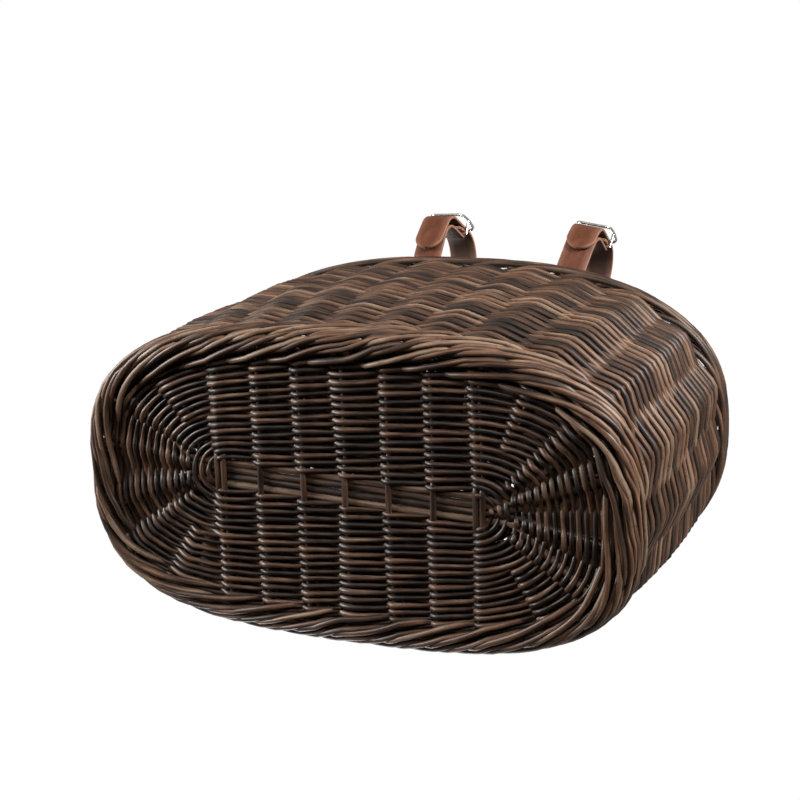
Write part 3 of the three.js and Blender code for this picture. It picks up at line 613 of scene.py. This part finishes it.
def stake_path(k):
    turn_middle = TURN_RADIUS * math.sqrt(0.5)
    insets = np.linspace(STAKE_FOOT, TURN_RADIUS, 4)
    corners = [wall_point(k, BASE_LEVEL, -inset) for inset in insets]
    turn_level = BASE_LEVEL + TURN_RADIUS
    corners.append(wall_point(k, turn_level - turn_middle, turn_middle - TURN_RADIUS))
    corners.append(wall_point(k, turn_level, 0))
    for z in np.linspace(turn_level, STRAIGHT_TOP, 8)[1:]:
        corners.append(wall_point(k, z, 0))
    corners += [wall_point(k + on, BORDER_TOP - down, out) for on, down, out in BEND_STOPS]
    corners += [over_the_rim(k, along) for along in BORDER_STOPS]
    return spline(corners, 4)


for k in range(STAKES):
    rods = Rods()
    path = stake_path(k)
    passed = np.arange(len(path))
    grow = np.clip(passed / FOOT_POINTS, FOOT_SHARE, 1)
    left = np.clip((len(path) - 1 - passed) / TIP_POINTS, 0, 1)
    rods.add(path, grow * (TIP_RADIUS + TIP_GAIN * left), dice.uniform(*STAKE_TONES), sides=10)
    piece = rods.build(f"stake_{k + 1}", stake_willow)
    dress(piece, "basket", "stake_willow", f"side_stake_{k + 1}")


# Base sticks.
def side_edge(x, inset):
    """Half width of the base at x, less an inset."""
    a, b, n = oval_at(BASE_LEVEL)
    return (b - inset) * (1 - abs(x / (a - inset)) ** n) ** (1 / n)


FAN_LEAD = 0.11  # the long sticks end this part of a bay past a stake


def fan_station(index, end):
    """Where round the oval a long stick ends, counted in stakes."""
    first = SIDE_STAKES + (END_STAKES - 1) / 2 - (LONG_STICKS - 1) / 2
    return FAN_LEAD + (first + index if end < 0 else first + LONG_STICKS - 1 - index + STAKES / 2)


def stick_line(index, x):
    """Side offset of one long stick. The sticks lie slightly askew, as in the photograph."""
    return ((LONG_STICKS - 1) / 2 - index) * LONG_STICK_PITCH + SLATH_TURN * x


TWIN_GAP = 0.7
TWIN = (STICK_WIDTH + TWIN_GAP) / 2
SPLIT_HALF, SPLIT_FADE = 15.5, 5.0  # length of the opened split, and how fast it closes
SPLIT_OPEN, HALVES_APART = 2.5, 0.8
HALF_STICK, HALF_SWELL, HALF_FLAT = 1.75, 0.2, 0.62
CROSS_TONES, CROSS_SWAY, CROSS_WAVE = (0.3, 0.55), 0.5, 23
LONG_TONES, LONG_SWAY, LONG_WAVE = (0.72, 0.42, 0.28, 1.0), 0.25, 17
LONG_RADII = (2.4, 2.3)
cross_groups = []
for k in range(SIDE_STAKES):
    x = (k - (SIDE_STAKES - 1) / 2) * BASE_STAKE_PITCH
    cross_groups.append([x - TWIN, x + TWIN] if k in (0, SIDE_STAKES - 1) else [x])

for number, x in enumerate(np.concatenate(cross_groups)):
    rods = Rods()
    tone = dice.uniform(*CROSS_TONES)
    end = side_edge(x, STICK_END)
    split = np.linspace(-18, 18, 19)
    y = np.concatenate([np.linspace(-end, -20, 8), split, np.linspace(20, end, 8)])
    swell = np.clip((SPLIT_HALF - np.abs(y - SLATH_TURN * x)) / SPLIT_FADE, 0, 1)
    swell = swell * swell * (3 - 2 * swell)
    sway = CROSS_SWAY * np.sin(y / CROSS_WAVE + dice.uniform(0, 6))
    for way in (-1, 1):
        z = BASE_LEVEL + way * (HALVES_APART + SPLIT_OPEN * swell)
        path = np.stack([x + sway, y, z], -1) + SHIFT
        rods.add(path, HALF_STICK + HALF_SWELL * swell, tone, sides=12, flat=HALF_FLAT)
    piece = rods.build(f"cross_stick_{number + 1}", base_willow)
    dress(piece, "basket", "stick_willow", f"base_cross_stick_{number + 1}")


def stick_point(index, x):
    return np.array([x, stick_line(index, x), BASE_LEVEL]) + SHIFT


for k in range(LONG_STICKS):
    halves = []
    for end in (-1, 1):
        straight = [stick_point(k, end * x) for x in (30, 60, 85, FAN_START)]
        start, stop = straight[-1], wall_point(fan_station(k, end), BASE_LEVEL, -STICK_END)
        halves.append(straight + [start + (stop - start) * t for t in (0.3, 0.65, 1.0)])
    path = spline(halves[0][::-1] + [stick_point(k, 0)] + halves[1], 4)
    path[:, 1] += LONG_SWAY * np.sin(path[:, 0] / LONG_WAVE + 2 * k)
    rods = Rods()
    rods.add(path, np.linspace(*LONG_RADII, len(path)), LONG_TONES[k], sides=12)
    piece = rods.build(f"long_stick_{k + 1}", base_willow)
    dress(piece, "basket", "stick_willow", f"base_long_stick_{k + 1}")


# Base weave: pairs of strands twisted round the sticks. A spoke is the place where the pairs
# cross a stick: its inner end beside the long sticks, and its turn round the oval at the outer end.
BASE_COURSES = 3
CORNER_STAKES = {(-1, 1): 7, (-1, -1): 12, (1, -1): 20, (1, 1): 25}
CORNER_BACK, CORNER_IN = 3.5, 1.6
STEPS = 12  # points in a bay
LATE_DIVE = 0.86  # share of a bay after which a strand dives
PAIR_HALF = 1.25  # from a row's middle to each strand of its pair
PAIR_RADII, PAIR_TONES = (1.38, 1.66), (0.15, 0.7)
ROW_PITCH = 5.0
CREST = 0.14  # where on STROKE a strand crosses the stick
STROKE = [0, 0.07, CREST, 0.24, 0.42, 0.8, 0.93, 1.0], [0, 0.75, 1.0, 0.92, 0.62, 0.48, 0.32, 0]
STICK_CLEAR, INNER_REACH, ROW_SWAY = 0.35, 1.25, 0.45
SLIDE_INSIDE = [0, 0.65, 1], [1, 0.9, -1]
WIDTH_BELOW = [0, 0.08, 0.45, 0.93, 1], [1.3, 1.2, 1.02, 0.76, 1.3]  # where it shows from below
WIDTH_INSIDE = [0, 0.1, 0.9, 1], [1.3, 1.75, 1.75, 1.3]


def flat_point(x, y):
    return np.array([x, y]) + SHIFT[:2]


def station_turn(station):
    return station_angle(station, BASE_LEVEL / HEIGHT)


def edge_line(turn):
    """Outermost row of the base weave, at an even distance inside the stake line."""
    return np.stack(beside_oval(oval_at(BASE_LEVEL), turn, -WEAVE_EDGE), -1) + SHIFT[:2]


def cross_spokes(side):
    order = cross_groups[::-1] if side > 0 else cross_groups
    a, _, n = oval_at(BASE_LEVEL)
    spokes = []
    for group in order:
        x = sum(group) / len(group)
        turn = side * math.acos(signed_power(x / a, n / 2))
        spokes.append((flat_point(x, side * SLATH_EDGE + SLATH_TURN * x), turn))
    return spokes


def fan_spokes(end, bundled):
    spokes = []
    for k in range(LONG_STICKS):
        index = k if end < 0 else LONG_STICKS - 1 - k
        inner = flat_point(end * SLATH_END, stick_line(index, end * SLATH_END))
        spokes.append((inner, station_turn(fan_station(index, end))))
    if bundled:
        inner = sum(spoke[0] for spoke in spokes) / LONG_STICKS
        turn = sum(spoke[1] for spoke in spokes) / LONG_STICKS
        spokes = [(inner, turn)]
    return spokes


def corner_spoke(end, side):
    """Where a stake's foot at a corner of the base takes the outer rows."""
    x = end * (SLATH_END - CORNER_BACK)
    inner = flat_point(x, side * (SLATH_EDGE - CORNER_IN) + SLATH_TURN * x)
    return inner, station_turn(CORNER_STAKES[end, side])


def row_spokes(row):
    """Spokes of one row in order, and the part of each bay after which a strand dives."""
    spokes, dives = [], []
    for end, side in ((-1, 1), (1, -1)):
        cross = cross_spokes(side)
        fan = fan_spokes(end, row < BUNDLED_ROWS)
        if row >= CORNER_ROWS:
            fan = [corner_spoke(end, side)] + fan + [corner_spoke(end, -side)]
        spokes += cross + fan
        late, early = (LATE_DIVE, 1 - LATE_DIVE) if side > 0 else (1 - LATE_DIVE, LATE_DIVE)
        dives += [late] * (len(cross) - 1) + list(np.linspace(late, early, len(fan) + 1))
    return spokes, np.array(dives)


def stroke_height(v, crossing):
    """Height of a strand over its stroke, highest where it crosses the stick."""
    early = crossing <= 0.5
    v = np.where(early, v, 1 - v)
    crossing = np.where(early, crossing, 1 - crossing)
    rising = v / crossing * CREST
    sinking = CREST + (v - crossing) / (1 - crossing) * (1 - CREST)
    return np.interp(np.where(v < crossing, rising, sinking), *STROKE)


def base_strand(rods, row, first_below, thick):
    """One strand of a pair. It shows on one stick from below, and inside on the next."""
    spokes, dives = row_spokes(row)
    count = len(spokes)
    share = row / (BASE_ROWS - 1)
    turn = np.array([turn for _, turn in spokes])
    turn = np.unwrap(np.append(turn, turn[0]))
    s = np.arange(count * STEPS) / STEPS
    rim = edge_line(np.interp(s, np.arange(count + 1), turn))
    line = spline([inner for inner, _ in spokes], STEPS, closed=True)
    wide = np.linalg.norm(rim - line, axis=1) / (BASE_ROWS - 1) / ROW_PITCH
    line = line + (rim - line) * share
    along = headings(line, closed=True)
    outwards = np.stack([along[:, 1], -along[:, 0]], -1)
    bay = np.floor(s).astype(int)
    stick = np.where(s - bay < dives[bay], bay, bay + 1)
    start = stick - 1 + dives[(stick - 1) % count]
    length = stick + dives[stick % count] - start
    v = (s - start) / length
    below = (stick % count + first_below) % 2 == 0
    height = stroke_height(v, (stick - start) / length)
    reach = STICK_WIDTH / 2 + thick + STICK_CLEAR
    z = BASE_LEVEL + np.where(below, -1.0, INNER_REACH) * height * reach
    slide = np.where(below, 2 * v - 1, np.interp(v, *SLIDE_INSIDE))
    sway = spline(dice.uniform(-ROW_SWAY, ROW_SWAY, (count, 1)), STEPS, closed=True)[:, 0]
    slide = slide * PAIR_HALF + sway
    path = np.column_stack([line + outwards * slide[:, None], z])
    onwards = np.where(stick - start <= length / 2, v, 1 - v)
    shown = np.interp(onwards, *WIDTH_BELOW)
    inside = np.interp(v, *WIDTH_INSIDE) * np.maximum(wide, 1)
    width = thick * np.where(below, shown, inside)
    rods.add(path, width, dice.uniform(*PAIR_TONES), closed=True)


for course in range(BASE_COURSES):
    rods = Rods()
    for row in range(BASE_ROWS):
        if row * BASE_COURSES // BASE_ROWS != course:
            continue
        for first_below in (0, 1):
            base_strand(rods, row, first_below, dice.uniform(*PAIR_RADII))
    piece = rods.build(f"base_weave_{course + 1}", base_willow)
    dress(piece, "basket", "strand_willow", f"base_course_{course + 1}")


# Straps, drawn in a plane square to the wall: x outwards, y up from the border's middle.
HALF_LEATHER = STRAP_THICKNESS / 2
BORDER_ROUND = BORDER_ROOM + HALF_LEATHER
BEND_ROUND = BEND_ROOM + HALF_LEATHER
ALONG = np.array([math.sin(BUCKLE_ANGLE), -math.cos(BUCKLE_ANGLE)])
UPON = np.array([math.cos(BUCKLE_ANGLE), math.sin(BUCKLE_ANGLE)])
UPPER_BEND = LOWER_BEND - ALONG * BUCKLE_RUN
MIDDLE_BAR = BEND_ROUND + EYE_RADIUS
FREE_LAYER = MIDDLE_BAR + EYE_RADIUS + STRAP_THICKNESS + LAYER_GAP
OUTER_BAR = FREE_LAYER + HALF_LEATHER + BAR_PLAY + WIRE_RADIUS
BAR_RISE = OUTER_BAR - MIDDLE_BAR
TONGUE_LIFT = WIRE_RADIUS + BAR_PLAY + TONGUE_RADIUS
TONGUE_REST = math.asin(TONGUE_LIFT / math.hypot(BUCKLE_HALF, BAR_RISE))
TONGUE_ANGLE = math.atan2(BAR_RISE, BUCKLE_HALF) + TONGUE_REST
TONGUE_PASS = (FREE_LAYER - MIDDLE_BAR) / math.tan(TONGUE_ANGLE)
TONGUE_SPREAD = HALF_LEATHER + TONGUE_RADIUS / math.cos(TONGUE_ANGLE)
SLOT_HALF = TONGUE_SPREAD / math.tan(TONGUE_ANGLE) + SLOT_PLAY
FOLD_SLOPE = 0.35
PAST_HOLE = 0.17  # radians of the upper bend past its hole
TIP_BLUNT = 0.8
CUT_WEAR = 0.8


def buckle_point(along, height):
    """Point in the strap's plane: along the buckle from its middle bar, and out from the line
    between the two bends."""
    return LOWER_BEND + ALONG * (along - BUCKLE_RUN / 2) + UPON * height


def touch_angle(bend, side):
    """Angle at which the strap leaves the border for a bend, outside or inside the wall."""
    lean = math.acos((BORDER_ROUND - BEND_ROUND) / np.linalg.norm(bend))
    return math.atan2(bend[1], bend[0]) + side * lean


def arc(centre, radius, start, stop, steps):
    angle = np.linspace(start, stop, steps + 1)
    return np.asarray(centre) + radius * np.stack([np.cos(angle), np.sin(angle)], -1)


def free_radius(angle):
    """Distance of the free end from the lower bend. It sinks towards the layer below."""
    share = (BUCKLE_ANGLE - angle) / (BUCKLE_ANGLE - TIP_ANGLE)
    return FREE_LAYER - TIP_SINK * share ** 1.5


def strap_line(tip):
    """Middle line of the leather: from the fold on the buckle, round the lower bend, the border
    and the upper bend, and back through the buckle to the tip."""
    fold_end = buckle_point(FOLD_TAIL, MIDDLE_BAR + EYE_RADIUS - WIRE_RADIUS)
    fold_near = buckle_point(FOLD_TAIL / 2, MIDDLE_BAR + EYE_RADIUS - FOLD_SLOPE)
    fold = arc(buckle_point(0, MIDDLE_BAR), EYE_RADIUS, BUCKLE_ANGLE, BUCKLE_ANGLE + math.pi, 10)
    outside, inside = touch_angle(LOWER_BEND, -1), touch_angle(UPPER_BEND, 1)
    near = arc(LOWER_BEND, BEND_ROUND, BUCKLE_ANGLE, outside, 18)
    round_border = arc((0, 0), BORDER_ROUND, outside, inside - 2 * math.pi, 18)
    far = arc(UPPER_BEND, BEND_ROUND, inside, HOLE_ANGLES[1] - PAST_HOLE, 16)
    start = far[-1]
    ahead = start + (far[-1] - far[-2]) / np.linalg.norm(far[-1] - far[-2]) * STRAP_WIDTH / 2
    stop = buckle_point(-SLOT_HALF - TONGUE_PASS, FREE_LAYER)
    back = buckle_point(-SLOT_HALF - TONGUE_PASS - STRAP_WIDTH / 2, FREE_LAYER)
    t = np.linspace(0, 1, 17)[1:, None]
    u = 1 - t
    rise = u ** 3 * start + 3 * u ** 2 * t * ahead + 3 * u * t ** 2 * back + t ** 3 * stop
    free = np.arange(-SLOT_HALF - TONGUE_PASS + 2, BUCKLE_RUN / 2 - 1, 2.0)
    flat = np.array([buckle_point(along, FREE_LAYER) for along in free])
    turn = np.linspace(BUCKLE_ANGLE, TIP_ANGLE, 15)
    bent = LOWER_BEND + free_radius(turn)[:, None] * np.stack([np.cos(turn), np.sin(turn)], -1)
    down = (bent[-1] - bent[-2]) / np.linalg.norm(bent[-1] - bent[-2])
    last = STRAP_WIDTH / 2 * (1 - np.sin(np.linspace(0, math.pi / 2, 12)))
    end = np.concatenate([np.arange(2, tip - STRAP_WIDTH / 2 - 1, 2.0), tip - last])
    tip_run = bent[-1] + down * end[:, None]
    runs = [[fold_end, fold_near], fold, near, round_border, far, rise, flat, bent, tip_run]
    return np.concatenate(runs)


# Section of the leather with rounded edges, as shares of its half width and half thickness.
INNER_FACE = [(-1, -0.45), (-0.985, -0.8), (-0.94, -1), (-0.5, -1), (0, -1),
              (0.5, -1), (0.94, -1), (0.985, -0.8), (1, -0.45)]
SECTION = INNER_FACE + [(-across, -thick) for across, thick in INNER_FACE]


def loop_frame(side):
    """Origin and directions of one strap: outwards, up and across."""
    origin = wall_point(STRAP_PLACES[side], BORDER_MIDDLE, 0)
    outwards = wall_point(STRAP_PLACES[side], BORDER_MIDDLE, 1) - origin
    outwards /= np.linalg.norm(outwards)
    up = np.array([0.0, 0.0, 1.0])
    return origin, outwards, up, np.cross(outwards, up)


def in_frame(side, points):
    origin, outwards, up, across = loop_frame(side)
    points = np.asarray(points, float)
    return origin + points[:, :1] * outwards + points[:, 1:2] * up + points[:, 2:3] * across


def edge_wear(across):
    """How worn the leather is: wholly on its cut edges, and a little beside them."""
    if abs(across) > 0.97:
        return 1.0
    return 0.35 if abs(across) > 0.9 else 0.0


def strap_body(side, material):
    line = strap_line(TIP_LENGTHS[side])
    along = headings(line)
    normal = np.stack([-along[:, 1], along[:, 0]], -1)
    length = lengths(line)
    left = length[-1] - length
    full = STRAP_WIDTH / 2
    rounded = np.sqrt(np.maximum(full ** 2 - (full - left) ** 2, TIP_BLUNT))
    half = np.where(left < full, rounded, full)
    count, corners = len(line), len(SECTION)
    points, grain, edge, inside = [], [], [], []
    for k in range(count):
        for across, thick in SECTION:
            at = line[k] + normal[k] * thick * HALF_LEATHER
            points.append((at[0], at[1], across * half[k]))
            grain.append((length[k] / 1000, across * half[k] / 1000, 0.01 * thick))
            edge.append(edge_wear(across))
            inside.append(0.5 - 0.5 * thick)
    faces = []
    for k in range(count - 1):
        here, there = k * corners, (k + 1) * corners
        for j in range(corners):
            nxt = (j + 1) % corners
            faces.append((here + j, there + j, there + nxt, here + nxt))
    faces.append(tuple(range(corners)))
    faces.append(tuple(range((count - 1) * corners, count * corners))[::-1])
    layers = {"grain": grain, "edge": edge, "inside": inside}
    return mesh_piece(f"leather_strap_{side}", in_frame(side, points), faces, material, layers)


def cutter(side, outline, middle, deep, turn):
    """Prism that cuts through the leather. The outline lies in the strap's own face."""
    face = np.array([math.cos(turn), math.sin(turn)])
    square = np.array([-face[1], face[0]])
    count = len(outline)
    points = []
    for way in (-deep, deep):
        for run, across in outline:
            at = middle + face * run + square * way
            points.append((at[0], at[1], across))
    faces = [tuple(range(count)), tuple(range(count, 2 * count))[::-1]]
    faces += [(k, k + count, (k + 1) % count + count, (k + 1) % count) for k in range(count)]
    layers = {"edge": np.full(2 * count, CUT_WEAR)}
    piece = mesh_piece("cutter", in_frame(side, points), faces, leather, layers)
    piece.data.flip_normals()
    return piece


def stadium(half, radius):
    """Outline of a slot with round ends."""
    angles = np.linspace(-math.pi / 2, math.pi / 2, 10)
    right = [(half - radius + radius * math.cos(a), radius * math.sin(a)) for a in angles]
    return right + [(-x, -y) for x, y in right]


def circle(radius):
    angles = np.linspace(0, 2 * math.pi, 20, False)
    return [(radius * math.cos(a), radius * math.sin(a)) for a in angles]


def cut_out(piece, tools):
    """Cuts the tools out of a piece and throws them away."""
    for tool in tools:
        knife = piece.modifiers.new("cut", "BOOLEAN")
        knife.operation = "DIFFERENCE"
        knife.solver = "EXACT"
        knife.object = tool
    view = bpy.context.evaluated_depsgraph_get()
    cut = bpy.data.meshes.new_from_object(piece.evaluated_get(view))
    piece.modifiers.clear()
    piece.data = cut
    for tool in tools:
        bpy.data.objects.remove(tool)


def leather_material():
    """Chestnut leather: clouded and scuffed, darker inside the loop and pale on its cut edges."""
    material, s, surface, _ = new_material("strap_leather")
    grain, edge, inside = [s.layer(label) for label in ("grain", "edge", "inside")]
    pores = s.node("ShaderNodeTexVoronoi", {"Vector": grain, "Scale": 900.0}).outputs["Distance"]
    cloud = s.noise(grain, 70.0, 4.0, 0.6)
    scuff = s.noise(s.stretch(grain, (160, 700, 100)), 1.0, 4.0, 0.65)
    tone = s.math("ADD", s.math("MULTIPLY", cloud, 0.7), s.math("MULTIPLY", scuff, 0.3))
    hide = s.ramp(tone, [
        (0.25, (0.036, 0.0102, 0.0042)),
        (0.5, (0.082, 0.0242, 0.0098)),
        (0.75, (0.135, 0.0460, 0.0215)),
    ])
    back = s.mix(scuff, (0.020, 0.010, 0.007, 1), (0.060, 0.030, 0.021, 1))
    hide = s.mix(inside, hide, back)
    fray = s.math("ADD", s.math("MULTIPLY", scuff, 0.7), 0.45)
    worn = s.math("MULTIPLY", edge, fray, clamp=True)
    hide = s.mix(worn, hide, (0.30, 0.15, 0.095, 1))
    rough = s.math("ADD", s.math("MULTIPLY", cloud, 0.2), 0.45)
    height = s.math("ADD", s.math("MULTIPLY", pores, 0.6), s.math("MULTIPLY", scuff, 0.8))
    s.feed(surface, {
        "Base Color": hide,
        "Roughness": rough,
        "Normal": s.bump(height, 0.25),
        "Specular IOR Level": 0.3,
    })
    return material


def nickel_material():
    """Polished wire with faint smudges."""
    material, s, surface, _ = new_material("buckle_nickel")
    place = s.node("ShaderNodeTexCoord").outputs["Object"]
    smudge = s.noise(place, 260.0, 3.0)
    tint = s.ramp(smudge, [(0.3, (0.62, 0.60, 0.57)), (0.7, (0.83, 0.82, 0.80))])
    rough = s.math("ADD", s.math("MULTIPLY", smudge, 0.2), 0.14)
    s.feed(surface, {"Base Color": tint, "Roughness": rough, "Metallic": 1.0})
    return material


leather = leather_material()
nickel = nickel_material()

# Buckles.
ARM = STRAP_WIDTH / 2 + SIDE_PLAY + WIRE_RADIUS
BAR_HALF, ARM_SHORT = ARM - 2.2, 0.2  # straight half of an outer bar, and how short an arm stops
POST_DROP, POST_SHARE = 0.9, 0.98
PLAIN = 0.5  # a tone, which the nickel doesn't read
RING_RADIUS, RING_WIRE, RING_STEPS = 1.75, 0.58, (-1.1, 0.0, 1.1)
PIN_START, PIN_OVER, PIN_SAG, PIN_POINTS, PIN_RADII = 1.9, 2, 0.1, 14, (0.95, 0.7)
SLOT_ROUND, CUT_DEEP = 1.7, 2.2
NOTCH, NOTCH_DEEP = [(-3.6, -2.2), (2.9, -2.2), (2.9, 2.2), (-3.6, 2.2)], 3.55
CREASE_ANGLE = math.radians(40)


def on_buckle(along, height, across):
    return (*buckle_point(along, height), across)


def frame_height(along, arched):
    """Height of the frame's wire. The bar over the lower bend stands prouder than the other."""
    return OUTER_BAR + arched + NEAR_RISE * max(along / BUCKLE_HALF, 0) ** 2


def buckle_frame(side):
    """Wire frame with round corners and arched arms, and the middle bar between them."""
    arch = (BUCKLE_HALF ** 2 + BUCKLE_ARCH ** 2) / (2 * BUCKLE_ARCH)
    corners = []
    for way in (1, -1):
        along = BUCKLE_HALF * way
        for across in np.linspace(-BAR_HALF, BAR_HALF, 7) * way:
            corners.append(on_buckle(along, frame_height(along, 0), across))
        reach = math.asin((BUCKLE_HALF - ARM_SHORT) / arch)
        for angle in np.linspace(reach, -reach, 11)[1:-1] * way:
            along = arch * math.sin(angle)
            height = frame_height(along, BUCKLE_ARCH - arch + arch * math.cos(angle))
            corners.append(on_buckle(along, height, ARM * way))
    rods = Rods()
    wire = in_frame(side, spline(corners, 3, closed=True))
    rods.add(wire, WIRE_RADIUS, PLAIN, sides=12, closed=True)
    bar = [on_buckle(0, MIDDLE_BAR, across) for across in np.linspace(-ARM, ARM, 9)]
    rods.add(in_frame(side, bar), WIRE_RADIUS, PLAIN, sides=12)
    heights = np.linspace(MIDDLE_BAR - POST_DROP, OUTER_BAR + BUCKLE_ARCH, 6)
    for way in (1, -1):
        post = [on_buckle(0, height, ARM * way) for height in heights]
        rods.add(in_frame(side, post), WIRE_RADIUS * POST_SHARE, PLAIN, sides=12)
    return rods.build(f"buckle_wire_{side}", nickel)


def buckle_tongue(side):
    """Pin with three turns of wire round the middle bar."""
    rods = Rods()
    start = math.pi - TONGUE_ANGLE
    angles = np.linspace(start, start + 2 * math.pi, 24, False)
    ring = [on_buckle(RING_RADIUS * math.cos(a), MIDDLE_BAR + RING_RADIUS * math.sin(a), 0)
            for a in angles]
    for across in RING_STEPS:
        turn = np.array(ring) + (0, 0, across)
        rods.add(in_frame(side, turn), RING_WIRE, PLAIN, closed=True)
    lean, rise = math.cos(TONGUE_ANGLE), math.sin(TONGUE_ANGLE)
    run = np.linspace(PIN_START, (BUCKLE_HALF + PIN_OVER) / lean, PIN_POINTS)
    sag = PIN_SAG * np.sin(np.linspace(0, math.pi, PIN_POINTS))
    pin = [on_buckle(-d * lean, MIDDLE_BAR + d * rise - drop, 0) for d, drop in zip(run, sag)]
    rods.add(in_frame(side, pin), np.linspace(*PIN_RADII, PIN_POINTS), PLAIN, sides=10)
    return rods.build(f"buckle_pin_{side}", nickel)


flat_turn = BUCKLE_ANGLE - math.pi / 2
slot_place = buckle_point(-TONGUE_PASS, FREE_LAYER)
holes = ((LOWER_BEND, free_radius(HOLE_ANGLES[0]), HOLE_ANGLES[0]),
         (UPPER_BEND, BEND_ROUND, HOLE_ANGLES[1]))
for side in ("left", "right"):
    strap = strap_body(side, leather)
    tools = [cutter(side, stadium(SLOT_HALF, SLOT_ROUND), slot_place, CUT_DEEP, flat_turn)]
    for bend, radius, angle in holes:
        middle = arc(bend, radius, angle, angle, 1)[0]
        tools.append(cutter(side, circle(HOLE_RADIUS), middle, CUT_DEEP, angle - math.pi / 2))
    tools.append(cutter(side, NOTCH, buckle_point(0, MIDDLE_BAR), NOTCH_DEEP, flat_turn))
    cut_out(strap, tools)
    strap.data.polygons.foreach_set("use_smooth", [True] * len(strap.data.polygons))
    strap.data.set_sharp_from_angle(angle=CREASE_ANGLE)
    dress(strap, f"strap_{side}", "strap_leather", f"strap_{side}")
    dress(buckle_frame(side), f"buckle_{side}", "buckle_nickel", f"buckle_frame_{side}")
    dress(buckle_tongue(side), f"tongue_{side}", "buckle_nickel", f"buckle_tongue_{side}")


# Camera, in the place that the photograph was taken from. TURN and PLACE take a point of the
# basket into the camera's own frame.
FOCAL_PIXELS, PICTURE, SENSOR = 1665.5, 800, 36
TURN = Vector((0.254, 0.418, 0.015))
PLACE = Vector((-34.47, 55.04, 973.6))
turned = Matrix.Rotation(TURN.length, 3, TURN.normalized()) @ Matrix.Diagonal((-1, -1, 1))
eye = -(turned.transposed() @ PLACE) + Vector(SHIFT)
look = Matrix.Diagonal((1, -1, -1)) @ turned
camera = bpy.data.objects.new("camera", bpy.data.cameras.new("camera"))
camera.matrix_world = Matrix.Translation(eye / 1000) @ look.transposed().to_4x4()
camera.data.lens = SENSOR * FOCAL_PIXELS / PICTURE
camera.data.clip_start = 0.05
bpy.context.scene.collection.objects.link(camera)
bpy.context.scene.camera = camera

# Studio: the camera sees a white world, reflections see it dimmed and the rest gets faint light.
MIRRORED, FAINT = 0.35, 0.07
world = bpy.data.worlds.new("studio")
world.use_nodes = True
world.node_tree.nodes.clear()
s = Shading(world.node_tree)
rays = s.node("ShaderNodeLightPath").outputs
seen = s.math("MAXIMUM", rays["Is Camera Ray"], rays["Is Transmission Ray"])
mirrored = s.math("MULTIPLY", rays["Is Glossy Ray"], MIRRORED)
strength = s.math("MAXIMUM", seen, s.math("MAXIMUM", mirrored, FAINT))
sky = s.node("ShaderNodeBackground", {"Color": (1, 1, 1, 1), "Strength": strength})
s.node("ShaderNodeOutputWorld", {"Surface": sky.outputs[0]})
bpy.context.scene.world = world


LAMP_AIM = Vector((0, 0, 0.1))


def soft_box(name, place, size, power):
    """Round lamp, in metres and watts, turned towards the middle of the basket."""
    light = bpy.data.lights.new(name, "AREA")
    light.shape = "DISK"
    light.size = size
    light.energy = power
    lamp = bpy.data.objects.new(name, light)
    place = Vector(place)
    turn = (LAMP_AIM - place).to_track_quat("-Z", "Y")
    lamp.matrix_world = Matrix.Translation(place) @ turn.to_matrix().to_4x4()
    bpy.context.scene.collection.objects.link(lamp)


soft_box("key", (-0.92, 0.74, -0.04), 0.35, 24)
soft_box("side", (1.2, 0.45, -0.36), 0.4, 27)
soft_box("fill", (-0.35, 1.2, -0.95), 0.4, 9)
soft_box("top", (0.5, -0.4, 1.6), 0.8, 14)
soft_box("front", (0.7, -1.5, 0.5), 0.8, 14)

# Pale floor under the basket. It shows only from above, fades out and lets the light through.
FLOOR_CORNERS = [(-1000, -1000, -0.5), (1000, -1000, -0.5), (1000, 1000, -0.5), (-1000, 1000, -0.5)]
FADE = {"From Min": 0.25, "From Max": 0.85}  # metres from the middle
material, s, surface, out = new_material("floor")
s.feed(surface, {"Base Color": (0.86, 0.86, 0.85, 1), "Roughness": 0.8})
rays = s.node("ShaderNodeLightPath").outputs
spot = s.node("ShaderNodeNewGeometry").outputs
light = s.math("MAXIMUM", rays["Is Shadow Ray"], rays["Is Diffuse Ray"])
hidden = s.math("MAXIMUM", spot["Backfacing"], light)
away = s.node("ShaderNodeVectorMath", {0: spot["Position"]}, operation="LENGTH").outputs["Value"]
fade = s.node("ShaderNodeMapRange", {"Value": away, **FADE}, interpolation_type="SMOOTHSTEP")
hidden = s.math("MAXIMUM", hidden, fade.outputs["Result"])
clear = s.node("ShaderNodeBsdfTransparent")
both = s.node("ShaderNodeMixShader", {0: hidden, 1: surface.outputs[0], 2: clear.outputs[0]})
s.feed(out, {"Surface": both.outputs[0]})
floor = mesh_piece("floor", FLOOR_CORNERS, [(0, 1, 2, 3)], material, {})

bpy.context.scene.view_settings.view_transform = "Standard"
